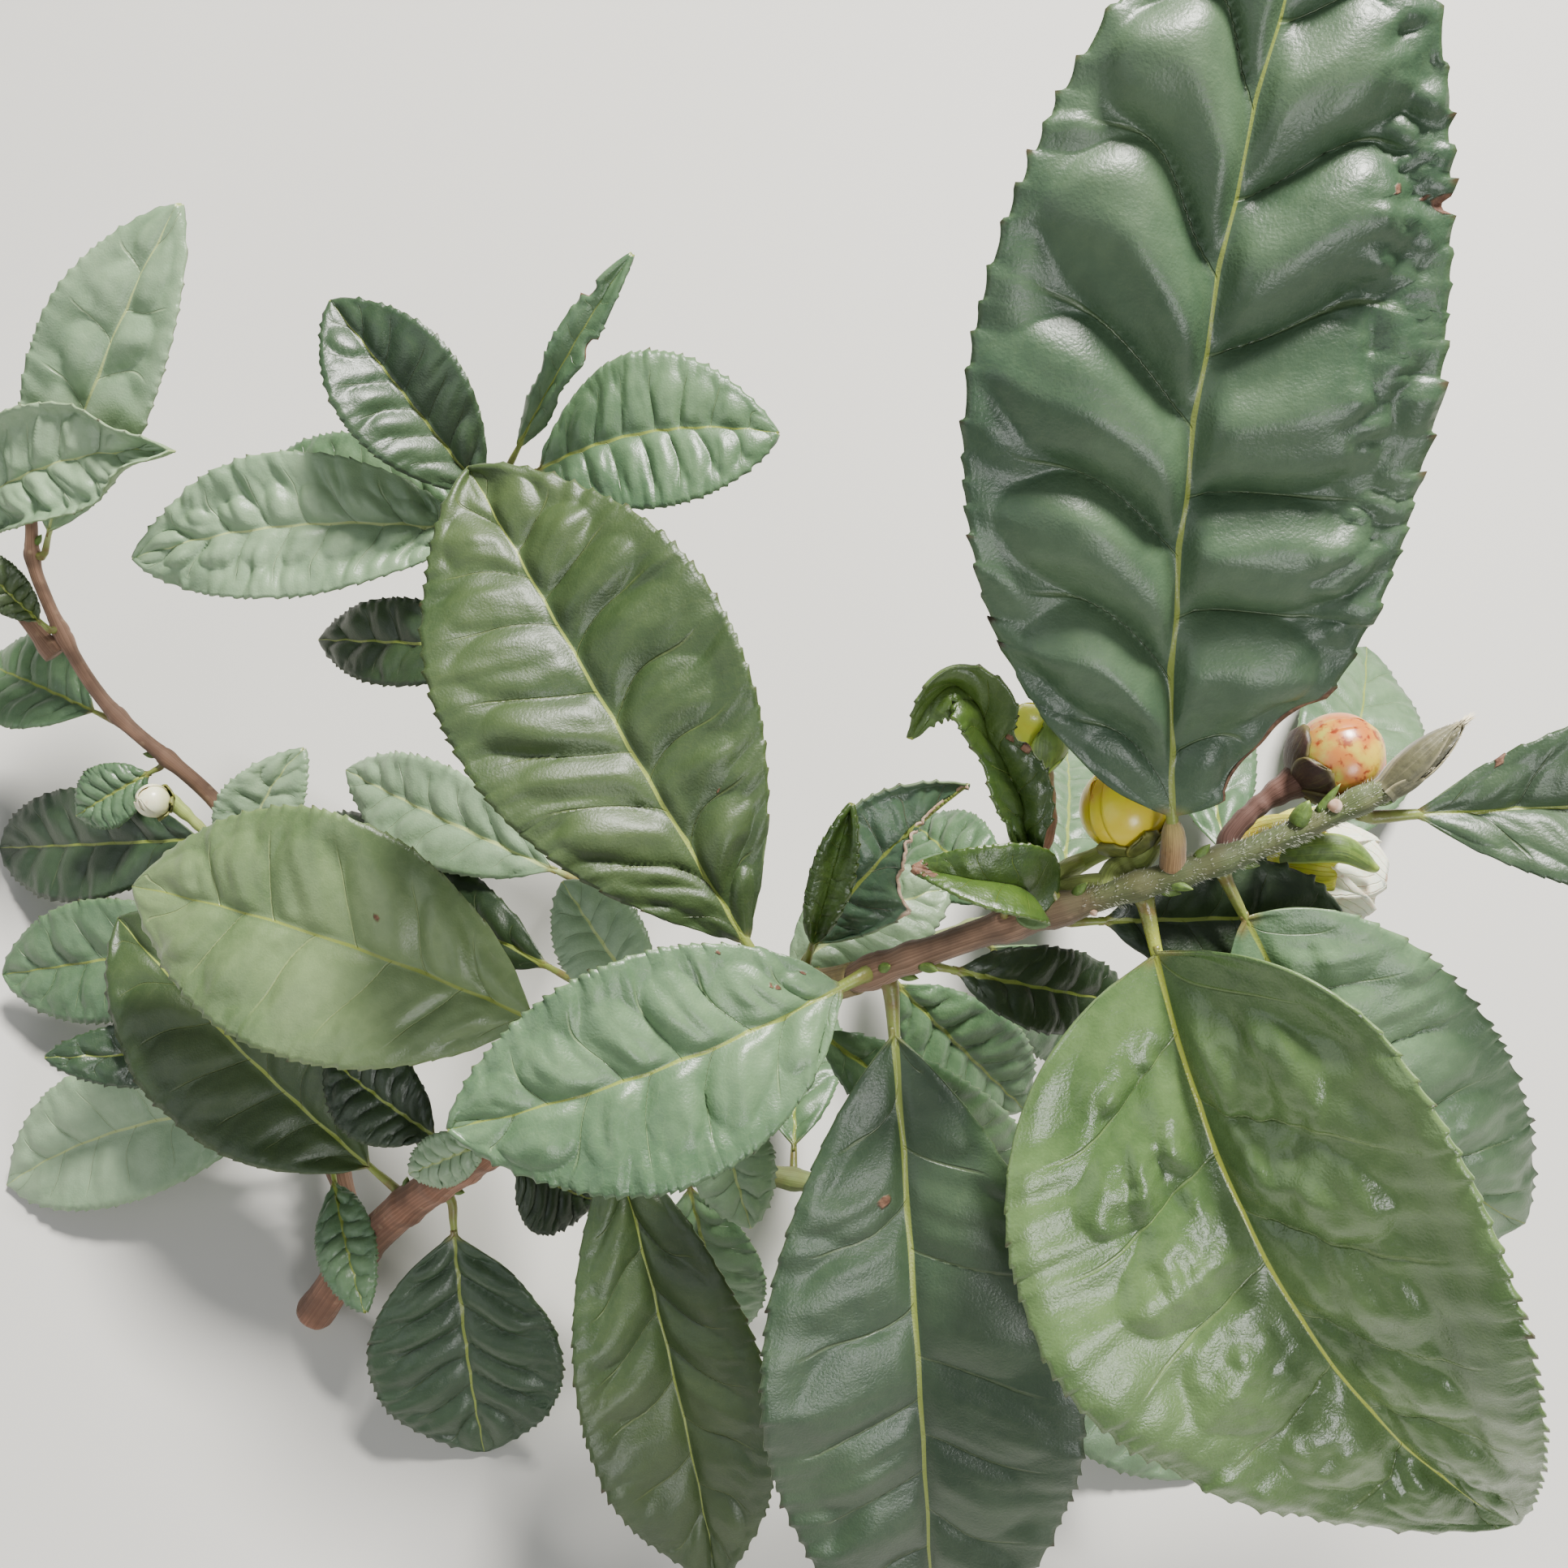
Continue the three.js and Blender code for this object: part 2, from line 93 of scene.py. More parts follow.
Colour = tuple[float, float, float]
Point = tuple[float, float, float]
Box = tuple[float, float, float, float]
Corner = tuple[Vector, dict[str, float]]
Socket = bpy.types.NodeSocket
Face = bmesh.types.BMFace


def square_to(axis: Vector, wanted: Vector) -> Vector:
    """The unit vector at right angles to a unit axis that is nearest to a wanted direction."""
    return (wanted - axis * wanted.dot(axis)).normalized()


def smooth(low: float, high: float, value: float) -> float:
    """A soft step from 0 at low to 1 at high, which may be lower than low."""
    share = min(max((value - low) / (high - low), 0.0), 1.0)
    return share * share * (3 - 2 * share)


def between(low: float, high: float, share: float) -> float:
    """The number at a share of the way from low to high."""
    return low + (high - low) * share


def above_floor(point: Vector, clearance: float = FLOOR_CLEARANCE) -> Vector:
    """A point of the spray, raised where it is nearer to the floor than a clearance."""
    height = SPRAY_AT.z + point.dot(UPWARD)
    return point + UPWARD * max(clearance - height, 0.0)


def bake_box(index: int, columns: int, rows: int, edge: float = 0.0) -> Box:
    """One box of an even grid of boxes on the bake picture.

    Args:
        index: number of the box, counted along the rows.
        columns: boxes in a row.
        rows: rows of boxes.
        edge: share of a box that is kept free on each side.

    Returns:
        Left, right, bottom and top.
    """
    row, column = divmod(index, columns)
    left, right = ((column + share) / columns for share in (edge, 1 - edge))
    bottom, top = ((row + share) / rows for share in (edge, 1 - edge))
    return left, right, bottom, top


def part_of(box: Box, start: float, end: float, edge: float) -> Box:
    """The part of a box from one share of its width to another, with a free edge below and above."""
    left, right, bottom, top = box
    low, high = between(bottom, top, edge), between(bottom, top, 1 - edge)
    return between(left, right, start), between(left, right, end), low, high


def put_in_scene(name: str, data: bpy.types.ID) -> bpy.types.Object:
    """Adds an object with its mesh, light or camera at the origin."""
    placed = bpy.data.objects.new(name, data)
    bpy.context.scene.collection.objects.link(placed)
    return placed


def even_steps(end: float, count: int) -> list[float]:
    """Distances from 0 to an end, in a number of even steps."""
    return [end * i / count for i in range(count + 1)]


def spoke(right: Vector, up: Vector, turn: float) -> Vector:
    """The direction at an angle from one direction towards another at right angles to it."""
    return right * math.cos(turn) + up * math.sin(turn)


class Path:
    """A smooth line through points, by the rule that the solids' limbs follow.

    Args:
        points: the points that it passes, in millimetres in the spray's frame.
    """

    def __init__(self, points: Iterable[Vector]) -> None:
        points = [Vector(p) for p in points]
        before = points[0] * 2 - points[1]
        after = points[-1] * 2 - points[-2]
        self.points = [before, *points, after]
        self.distances = [0.0]
        last = self._at(0.0)
        for i in range(1, ARC_DIVISIONS + 1):
            here = self._at(i / ARC_DIVISIONS)
            self.distances.append(self.distances[-1] + (here - last).length)
            last = here
        self.length = self.distances[-1]

    def _at(self, share: float) -> Vector:
        """The point at a share of the spans."""
        spans = len(self.points) - 3
        place = min(max(share, 0.0), 1.0) * spans
        span = min(int(place), spans - 1)
        w = place - span
        a, b, c, d = self.points[span : span + 4]
        start, end = (c - a) / 2, (d - b) / 2
        bend = (c - b) * 3 - start * 2 - end
        return b + start * w + bend * w**2 + ((b - c) * 2 + start + end) * w**3

    def _share(self, along: float) -> float:
        """The share of the spans at a distance along the line."""
        if along >= self.length:
            return 1.0
        low, high = 0, ARC_DIVISIONS
        while high - low > 1:
            middle = (low + high) // 2
            low, high = (middle, high) if self.distances[middle] <= along else (low, middle)
        step = self.distances[high] - self.distances[low]
        return (low + max(along - self.distances[low], 0.0) / step) / ARC_DIVISIONS

    def point(self, along: float) -> Vector:
        """The point at a distance along the line, which runs straight on past both ends."""
        past = max(along - self.length, 0.0) + min(along, 0.0)
        return self._at(self._share(along)) + self.tangent(along) * past

    def tangent(self, along: float) -> Vector:
        """The unit direction of the line at a distance along it."""
        share = self._share(along)
        return (self._at(share + TANGENT_STEP) - self._at(share - TANGENT_STEP)).normalized()


@dataclass
class Stem:
    """One tapering stem.

    Args:
        name: its CAD node.
        path: its axis.
        foot_radius: its radius at the foot, in millimetres.
        tip_radius: its radius at the tip.
        bark: its finish.
        slim: its thickness beside the solid's.
        carrier: the stem that it grows on, if any.
        at: where on its carrier, in millimetres, or none where it carries on past the end.
    """

    name: str
    path: Path
    foot_radius: float
    tip_radius: float
    bark: "Finish"
    slim: float
    carrier: "Stem | None"
    at: float | None

    def radius(self, along: float) -> float:
        """The radius at a distance along the stem."""
        return between(self.foot_radius, self.tip_radius, along / self.path.length)

    def seat(self, along: float, towards: Vector, end_radius: float, gap: float = TOUCH_GAP) -> Vector:
        """Where something that leans towards a point meets the stem's side.

        Args:
            along: distance along the stem.
            towards: the point that it leans to.
            end_radius: radius of its foot.
            gap: clearance from the stem's side; below 0 the foot is sunk in.

        Returns:
            The centre of its foot.
        """
        centre = self.path.point(min(along, self.path.length))
        tangent = self.path.tangent(along)
        heading = (towards - centre).normalized()
        oblique = abs(heading.dot(tangent))
        return centre + square_to(tangent, heading) * (self.radius(along) + gap + end_radius * oblique)

    def beyond(self, towards: Vector, end_radius: float) -> Vector:
        """Where something that carries on past the stem's end starts.

        Args:
            towards: the point that it carries on to.
            end_radius: radius of its foot.

        Returns:
            The centre of its foot.
        """
        end = self.path.point(self.path.length)
        tangent = self.path.tangent(self.path.length)
        tilt = (towards - end).normalized().cross(tangent).length
        return end + tangent * (TOUCH_GAP + end_radius * tilt)


# Shader graphs


class Shade:
    """A number that varies over a surface, so that shader maths reads as Python.

    Args:
        graph: the graph that it belongs to.
        socket: the output socket that carries it.
    """

    def __init__(self, graph: "Graph", socket: Socket) -> None:
        self.graph = graph
        self.socket = socket

    def math(
        self, operation: str, *others: "Shade | float", first: "Shade | float | None" = None
    ) -> "Shade":
        """Adds a Math node.

        Args:
            operation: the node's operation.
            others: what its later inputs take.
            first: what its first input takes, if not this shade.

        Returns:
            The node's result.
        """
        inputs = [self if first is None else first, *others]
        node = self.graph.node("ShaderNodeMath", {"operation": operation}, dict(enumerate(inputs)))
        return Shade(self.graph, node.outputs[0])

    def __add__(self, other: "Shade | float") -> "Shade":
        """Sum."""
        return self.math("ADD", other)

    __radd__ = __add__

    def __mul__(self, other: "Shade | float") -> "Shade":
        """Product."""
        return self.math("MULTIPLY", other)

    __rmul__ = __mul__

    def __sub__(self, other: "Shade | float") -> "Shade":
        """Difference."""
        return self.math("SUBTRACT", other)

    def __rsub__(self, other: float) -> "Shade":
        """Difference from a number."""
        return self.math("SUBTRACT", self, first=other)

    def __truediv__(self, other: "Shade | float") -> "Shade":
        """Quotient."""
        return self.math("DIVIDE", other)

    def __abs__(self) -> "Shade":
        """Size without its sign."""
        return self.math("ABSOLUTE")

    def __gt__(self, other: float) -> "Shade":
        """1 where this is the greater, else 0."""
        return self.math("GREATER_THAN", other)

    def fraction(self) -> "Shade":
        """What is left above the whole number."""
        return self.math("FRACT")

    def most(self, other: "Shade | float") -> "Shade":
        """The greater of the two."""
        return self.math("MAXIMUM", other)

    def step(self, low: float, high: float) -> "Shade":
        """A soft step.

        Args:
            low: value where the step starts.
            high: value where it ends, which may be lower than low.

        Returns:
            0 before the step, 1 after it.
        """
        falls = high < low
        ends = {1: min(low, high), 2: max(low, high)}
        settings = {"interpolation_type": "SMOOTHSTEP"}
        node = self.graph.node("ShaderNodeMapRange", settings, {0: self, **ends})
        result = Shade(self.graph, node.outputs[0])
        return 1 - result if falls else result


class Graph:
    """The node graph of one material.

    Args:
        name: the material's name.
    """

    def __init__(self, name: str) -> None:
        self.material = bpy.data.materials.new(name)
        self.material.use_nodes = True
        self.tree = self.material.node_tree
        self.shader = self.tree.nodes["Principled BSDF"]

    def node(self, kind: str, settings: dict | None = None, sockets: dict | None = None) -> bpy.types.Node:
        """Adds a node.

        Args:
            kind: the node's type.
            settings: its own settings.
            sockets: values, colours, shades or sockets for its inputs, by number or name.

        Returns:
            The node.
        """
        node = self.tree.nodes.new(kind)
        for name, value in (settings or {}).items():
            setattr(node, name, value)
        for key, value in (sockets or {}).items():
            self.feed(node.inputs[key], value)
        return node

    def feed(self, socket: Socket, value: object) -> None:
        """Links or sets one input.

        Args:
            socket: the input.
            value: a shade or socket to link, or a number or colour to set.
        """
        if isinstance(value, Shade):
            self.tree.links.new(value.socket, socket)
        elif isinstance(value, Socket):
            self.tree.links.new(value, socket)
        elif socket.type == "RGBA":
            socket.default_value = (*value, 1.0)
        else:
            socket.default_value = value

    def attribute(self, name: str) -> Shade:
        """A number stored on the mesh's vertices."""
        node = self.node("ShaderNodeAttribute", {"attribute_name": name})
        return Shade(self, node.outputs["Fac"])

    @cached_property
    def place(self) -> Socket:
        """Object coordinates, in metres."""
        return self.node("ShaderNodeTexCoord").outputs["Object"]

    def map(self, name: str) -> Socket:
        """The coordinates of one of the piece's own maps."""
        return self.node("ShaderNodeUVMap", {"uv_map": name}).outputs[0]

    def stretched(self, vector: Socket, scale: Point) -> Socket:
        """Coordinates scaled by different amounts on each axis."""
        settings = {"operation": "MULTIPLY"}
        return self.node("ShaderNodeVectorMath", settings, {0: vector, 1: scale}).outputs[0]

    def clouds(self, size: float, detail: float = 2.0, vector: Socket | None = None) -> Shade:
        """Soft noise around 0.5, in patches of a size, on Object coordinates if no others are given."""
        sockets = {"Vector": vector or self.place, "Scale": 1 / size, "Detail": detail}
        return Shade(self, self.node("ShaderNodeTexNoise", None, sockets).outputs["Fac"])

    def cells(self, size: float, feature: str = "DISTANCE_TO_EDGE") -> Shade:
        """A distance, in cells, in a pattern of cells of a size."""
        sockets = {"Vector": self.place, "Scale": 1 / size}
        node = self.node("ShaderNodeTexVoronoi", {"feature": feature}, sockets)
        return Shade(self, node.outputs["Distance"])

    def mix(self, share: Shade | float, a: object, b: object) -> Socket:
        """Blends colours or colour sockets: none of b at 0, all of it at 1."""
        node = self.node("ShaderNodeMix", {"data_type": "RGBA"}, {0: share, 6: a, 7: b})
        return node.outputs[2]

    def finish(
        self,
        colour: object,
        roughness: Shade | float,
        height: Shade | None = None,
        relief: float = 0.2,
        coat: float = 0.0,
        sheen: float = 0.0,
        specular: float = 0.5,
        subsurface: float = 0.0,
    ) -> bpy.types.Material:
        """Sets the shader and returns the material.

        Args:
            colour: base colour or its socket.
            roughness: number or shade.
            height: relief from 0 to 1, read by a Bump node.
            relief: the depth of a full step of height, in millimetres.
            coat: weight of a clear coat.
            sheen: weight of velvety down.
            specular: how strongly the surface reflects.
            subsurface: how much light spreads inside.

        Returns:
            The material.
        """
        self.feed(self.shader.inputs["Base Color"], colour)
        self.feed(self.shader.inputs["Roughness"], roughness)
        constants = {
            "Coat Weight": coat,
            "Coat Roughness": 0.18,
            "Sheen Weight": sheen,
            "Specular IOR Level": specular,
            "Subsurface Weight": subsurface,
            "Subsurface Scale": 0.0006,
        }
        for name, value in constants.items():
            self.shader.inputs[name].default_value = value
        if height is not None:
            bump = self.node("ShaderNodeBump", None, {"Distance": relief * MM, "Height": height})
            self.feed(self.shader.inputs["Normal"], bump.outputs[0])
        return self.material


# Finishes


@dataclass(frozen=True)
class Finish:
    """What a surface looks like, by the name of its material."""

    name: str

    def material(self) -> bpy.types.Material:
        """Builds the material."""
        raise NotImplementedError


@dataclass(frozen=True)
class LeafFinish(Finish):
    """The two sides of a leathery leaf with its midrib, veins, margin, spots and stalk, and painted
    highlight and shade on its pillows.

    Args:
        dark: colour of the upper side.
        light: colour of its lighter patches, and of the painted highlight on the pillow tops.
        vein: colour of side veins and margin.
        rib: colour of the midrib.
        back: colour of the underside.
        stalk: colour of the leaf stalk.
        dry: colour of spots and dry parts.
        parched: colour of the palest of these.
        gloss: roughness of the upper side.
        margin: how far the margin's colour spreads, from 0 to 1.
    """

    dark: Colour
    light: Colour
    vein: Colour
    rib: Colour = (0.22, 0.27, 0.05)
    back: Colour = (0.16, 0.24, 0.1)
    stalk: Colour = (0.17, 0.19, 0.045)
    dry: Colour = (0.1, 0.042, 0.02)
    parched: Colour = (0.2, 0.1, 0.055)
    gloss: float = 0.36
    margin: float = 0.0

    def material(self) -> bpy.types.Material:
        """Builds the material, which reads the numbers that a leaf stores on its vertices."""
        g = Graph(self.name)
        across = g.attribute("across")
        under = g.attribute("under")
        width = abs(across)
        course = (g.attribute("course") + (across > 0.0) * 0.5).fraction()
        beside = abs(course - 0.5) * 2
        inner = width.step(0.84, 0.6)
        line = beside.step(0.955, 0.99) * inner
        pillow = g.attribute("pillow")
        rib = g.attribute("rib").step(1.15, 0.85)
        stalk = g.attribute("stalk")
        net = g.cells(0.0017).step(0.05, 0.015) * (1 - rib)
        patches = g.clouds(0.02, 4.0)
        grain = g.clouds(0.00028, 2.0)
        fine = g.clouds(0.0016, 3.0)
        rim = width.step(0.972, 0.995)
        tooth = g.attribute("tooth").step(0.5, 0.9)
        spot = g.attribute("spot").step(0.35, 0.75)
        # Random tone, plus painted highlight on the pillow tops and painted shade in the furrows between
        # them
        tone_and_painted_light = patches.step(0.35, 0.7) * 0.6 + pillow * 0.2 + fine.step(0.35, 0.7) * 0.2
        front = g.mix(tone_and_painted_light, self.dark, self.light)
        front = g.mix(line * 0.35 + net * 0.05 + rim * 0.15, front, self.vein)
        edge = width.step(1.0 - self.margin * 0.4, 1.0 - self.margin * 0.1) * self.margin
        front = g.mix(edge, front, self.vein)
        front = g.mix(rib, front, self.rib)
        back = g.mix(patches.step(0.3, 0.8) * 0.4 + net * 0.2, self.back, self.light)
        back = g.mix((line * 0.7).most(rib * 0.8), back, self.rib)
        colour = g.mix(under, front, back)
        stalky = g.mix(g.clouds(0.0012, 3.0).step(0.4, 0.65) * 0.6, self.stalk, (0.16, 0.08, 0.03))
        colour = g.mix(stalk, colour, stalky)
        brown = g.mix(g.clouds(0.0009, 3.0).step(0.42, 0.62), self.dry, self.parched)
        colour = g.mix(spot, colour, brown)
        colour = g.mix(tooth * 0.8, colour, (0.05, 0.025, 0.012))
        roughness = patches * 0.12 + grain * 0.16 + fine * 0.06 + (self.gloss - 0.14)
        roughness = roughness + spot * 0.3 + under * 0.24
        facing = 1 - under * 2
        height = 0.5 - line * 0.3 * facing + grain * 0.15 + fine * 0.16 + spot * fine * 0.8
        return g.finish(colour, roughness, height, relief=0.3, specular=0.55)


@dataclass(frozen=True)
class BarkFinish(Finish):
    """Young bark that turns from brown to green along a shoot.

    Args:
        turns: shares of the length where brown ends and where green is full.
        down: weight of the velvety down.
        specks: how strongly its lenticels show.
    """

    brown: Colour
    green: Colour
    turns: tuple[float, float] = (2.0, 3.0)
    down: float = 0.1
    specks: float = 0.2

    def material(self) -> bpy.types.Material:
        """Builds the material, which reads the numbers that a limb stores on its vertices."""
        g = Graph(self.name)
        fibres = g.clouds(0.9, 5.0, g.stretched(g.map("limb"), (60.0, 1.4, 1.0)))
        patches = g.clouds(0.005, 3.0)
        lenticels = g.cells(0.0019, "F1").step(0.3, 0.12)
        young = (g.attribute("along") + patches * 0.25 - 0.12).step(*self.turns)
        pale = tuple(min(c * 1.7 + 0.03, 1.0) for c in self.brown)
        dull = tuple(c * 0.45 for c in self.brown)
        woody = g.mix(fibres.step(0.35, 0.7), self.brown, pale)
        woody = g.mix(patches.step(0.62, 0.4) * 0.55, woody, dull)
        woody = g.mix(lenticels * self.specks, woody, (0.4, 0.28, 0.16))
        fresh = g.mix(fibres.step(0.4, 0.75) * 0.5, self.green, tuple(c * 2.2 for c in self.green))
        fresh = g.mix(patches.step(0.6, 0.35) * 0.3, fresh, (0.14, 0.1, 0.04))
        colour = g.mix(young, woody, fresh)
        roughness = 0.62 + fibres * 0.25 - young * 0.12
        height = fibres * 0.6 + lenticels * 0.4
        return g.finish(colour, roughness, height, relief=0.16, sheen=self.down)


@dataclass(frozen=True)
class CutWoodFinish(Finish):
    """The pale cut end of a stem with its pith and bark ring, in metres in the part's frame."""

    centre: Vector
    radius: float

    def material(self) -> bpy.types.Material:
        """Builds the material."""
        g = Graph(self.name)
        settings = {"operation": "DISTANCE"}
        node = g.node("ShaderNodeVectorMath", settings, {0: g.place, 1: self.centre})
        out = Shade(g, node.outputs["Value"]) / self.radius
        rings = (out * 5 + g.clouds(0.002) * 0.5).fraction()
        wood = g.mix(rings.step(0.2, 0.9) * 0.5, (0.62, 0.5, 0.3), (0.42, 0.3, 0.15))
        wood = g.mix(out.step(0.2, 0.12), wood, (0.3, 0.2, 0.09))
        wood = g.mix(out.step(0.84, 0.92), wood, (0.13, 0.07, 0.03))
        return g.finish(wood, g.clouds(0.0004) * 0.3 + 0.6, g.clouds(0.0002), relief=0.1)


@dataclass(frozen=True)
class WaxyFinish(Finish):
    """Waxy bud petals with a flush and freckles.

    Args:
        foot: colour towards the calyx.
        amount: how far the flush spreads, from 0 to 1.
    """

    ground: Colour
    foot: Colour
    flush: Colour
    freckle: Colour
    amount: float

    def material(self) -> bpy.types.Material:
        """Builds the material, which reads "along" from the foot of a petal to its tip."""
        g = Graph(self.name)
        along = g.attribute("along")
        drift = g.clouds(0.005, 2.0)
        fine = g.clouds(0.0007, 4.0)
        blotch = g.clouds(0.0019, 3.0)
        start = 0.66 - self.amount * 0.4
        flush = (drift + fine * 0.2 - 0.1 + along * 0.25 - 0.08).step(start, start + 0.22)
        freckles = (fine * 0.6 + blotch * 0.4).step(0.59 - self.amount * 0.1, 0.68 - self.amount * 0.1)
        colour = g.mix(along.step(0.62, 0.38) * 0.85, self.ground, self.foot)
        colour = g.mix(flush * 0.85, colour, self.flush)
        freckled = freckles * along.step(0.1, 0.35) * (flush * 0.65 + self.amount * 0.4)
        colour = g.mix(freckled, colour, self.freckle)
        height = drift * 0.4 + fine * 0.25
        return g.finish(colour, fine * 0.14 + 0.24, height, relief=0.07, coat=0.15, subsurface=0.1)


@dataclass(frozen=True)
class PetalFinish(Finish):
    """Soft flower petals with fine veins, a darker foot, and stained lines and bruises."""

    ground: Colour
    foot: Colour
    stain: Colour

    def material(self) -> bpy.types.Material:
        """Builds the material, which reads "along" and "across" over a petal."""
        g = Graph(self.name)
        along = g.attribute("along")
        across = g.attribute("across")
        veins = (across * 7 + g.clouds(0.003) * 1.2).fraction()
        veins = (abs(veins - 0.5) * 2).step(0.75, 1.0)
        bruise = g.clouds(0.0022, 4.0).step(0.58, 0.7)
        colour = g.mix(along.step(0.55, 0.0), self.ground, self.foot)
        colour = g.mix(veins * 0.16, colour, self.foot)
        edge = abs(across).step(0.8, 1.0).most(along.step(0.93, 1.0))
        colour = g.mix(bruise * (edge * 0.7 + 0.2), colour, self.stain)
        height = veins * -0.5 + g.clouds(0.0009, 3.0)
        return g.finish(colour, 0.5, height, relief=0.12, sheen=0.08, subsurface=0.2)


@dataclass(frozen=True)
class SepalFinish(Finish):
    """Thick, rounded sepals and bud scales with a thin rim, and a weight of silky down."""

    ground: Colour
    rim: Colour
    down: float = 0.0

    def material(self) -> bpy.types.Material:
        """Builds the material."""
        g = Graph(self.name)
        fine = g.clouds(0.0007, 4.0)
        streaks = g.clouds(0.5, 4.0, g.stretched(g.map("limb"), (9.0, 1.0, 1.0)))
        edge = abs(g.attribute("across")).step(0.78, 1.0).most(g.attribute("along").step(0.85, 1.0))
        dull = tuple(c * 0.5 for c in self.ground)
        colour = g.mix(fine.step(0.6, 0.35) * 0.6, self.ground, dull)
        colour = g.mix(streaks.step(0.5, 0.75) * 0.35, colour, self.rim)
        colour = g.mix(edge * 0.8, colour, self.rim)
        height = fine * 0.6 + streaks * 0.4
        return g.finish(colour, fine * 0.2 + 0.42 + self.down * 0.1, height, relief=0.14, sheen=self.down)


@dataclass(frozen=True)
class PlainFinish(Finish):
    """One colour with a slight unevenness, for small threads such as hairs and stamens."""

    ground: Colour
    other: Colour
    roughness: float = 0.6

    def material(self) -> bpy.types.Material:
        """Builds the material."""
        g = Graph(self.name)
        patches = g.clouds(0.0012, 2.0)
        return g.finish(g.mix(patches.step(0.35, 0.65), self.ground, self.other), self.roughness)


class Tint(Enum):
    """The leaf finishes, by how dark, fresh or dry the leaf is, and by the light and shade painted into some
    of them.
    """

    TALL = LeafFinish(
        "leaf_tall", (0.031, 0.066, 0.032), (0.082, 0.135, 0.07), (0.12, 0.165, 0.06), gloss=0.38
    )
    DEEP = LeafFinish(
        "leaf_deep", (0.022, 0.046, 0.021), (0.052, 0.088, 0.042), (0.11, 0.14, 0.055), gloss=0.37
    )
    SHADED = LeafFinish(
        "leaf_shaded", (0.012, 0.027, 0.01), (0.028, 0.052, 0.018), (0.09, 0.12, 0.035), gloss=0.4
    )
    FRESH = LeafFinish(
        "leaf_fresh", (0.05, 0.1, 0.028), (0.135, 0.215, 0.076), (0.2, 0.27, 0.09), rib=(0.44, 0.5, 0.06),
        gloss=0.24
    )
    OLIVE = LeafFinish(
        "leaf_olive", (0.026, 0.05, 0.015), (0.058, 0.09, 0.028), (0.13, 0.16, 0.046), gloss=0.42
    )
    # Paler than the leaf's own green: painted sheen
    SHEEN = LeafFinish(
        "leaf_sheen", (0.056, 0.112, 0.052), (0.145, 0.235, 0.12), (0.25, 0.33, 0.15), gloss=0.36
    )
    # Dusty grey-green, paler in part as painted sheen
    DUSTY_SHEEN = LeafFinish(
        "leaf_dusty_sheen", (0.084, 0.136, 0.05), (0.18, 0.25, 0.108), (0.31, 0.37, 0.14), gloss=0.36
    )
    CREAM_EDGED = LeafFinish(
        "leaf_cream_edged", (0.07, 0.12, 0.06), (0.15, 0.22, 0.12), (0.66, 0.62, 0.42), margin=0.9,
        gloss=0.38
    )
    # Paler still: painted sheen
    PALE = LeafFinish(
        "leaf_pale", (0.15, 0.235, 0.13), (0.26, 0.36, 0.22), (0.38, 0.46, 0.26), rib=(0.36, 0.43, 0.17),
        gloss=0.4
    )
    # Darkened as painted shade
    LIT_THROUGH = LeafFinish(
        "leaf_lit_through", (0.022, 0.05, 0.008), (0.062, 0.112, 0.014), (0.2, 0.27, 0.04), gloss=0.34
    )
    DRY_EDGED = LeafFinish(
        "leaf_dry_edged", (0.04, 0.085, 0.045), (0.1, 0.17, 0.095), (0.3, 0.24, 0.15), dry=(0.5, 0.32, 0.22),
        parched=(0.66, 0.48, 0.36), gloss=0.36,
    )


@cache
def material_of(finish: Finish) -> bpy.types.Material:
    """The material of a finish, made when it is first asked for."""
    return finish.material()


BROWN_BARK = BarkFinish("bark_brown", (0.17, 0.075, 0.04), (0.16, 0.15, 0.05), (0.75, 1.2))
SHOOT_BARK = BarkFinish(
    "bark_shoot", (0.14, 0.075, 0.04), (0.052, 0.07, 0.017), (0.34, 0.5), down=0.2, specks=0.0
)
GREEN_BARK = BarkFinish("bark_green", (0.17, 0.085, 0.045), (0.14, 0.18, 0.05), (0.0, 0.35), down=0.15)
PALE_TWIG = BarkFinish("bark_pale_twig", (0.2, 0.12, 0.05), (0.24, 0.3, 0.07), (-1.0, 0.0), down=0.15)
RED_TWIG = BarkFinish("bark_red_twig", (0.19, 0.085, 0.04), (0.2, 0.19, 0.06), (0.3, 1.2), specks=0.0)
FAR_BARK = BarkFinish("bark_far", (0.15, 0.078, 0.045), (0.16, 0.15, 0.05), (1.2, 1.6))
BRONZE_STALK = BarkFinish(
    "bark_bronze", (0.2, 0.11, 0.035), (0.26, 0.2, 0.06), (0.3, 1.0), down=0.3, specks=0.0
)
RED_WAX = WaxyFinish(
    "wax_red", (0.6, 0.42, 0.045), (0.36, 0.46, 0.08), (0.5, 0.115, 0.025), (0.22, 0.025, 0.008), 0.66
)
YELLOW_WAX = WaxyFinish(
    "wax_yellow", (0.72, 0.6, 0.015), (0.74, 0.56, 0.04), (0.72, 0.46, 0.06), (0.62, 0.22, 0.03), 0.25
)
GREEN_WAX = WaxyFinish(
    "wax_green", (0.6, 0.62, 0.05), (0.42, 0.5, 0.06), (0.66, 0.58, 0.06), (0.5, 0.36, 0.05), 0.15
)
WHITE_WAX = WaxyFinish(
    "wax_white", (0.78, 0.74, 0.52), (0.5, 0.5, 0.24), (0.78, 0.62, 0.4), (0.55, 0.34, 0.2), 0.2
)
WHITE_PETAL = PetalFinish("petal_white", (0.86, 0.83, 0.66), (0.78, 0.6, 0.14), (0.5, 0.2, 0.06))
YELLOW_PETAL = PetalFinish("petal_yellow", (0.62, 0.6, 0.05), (0.66, 0.4, 0.05), (0.6, 0.26, 0.05))
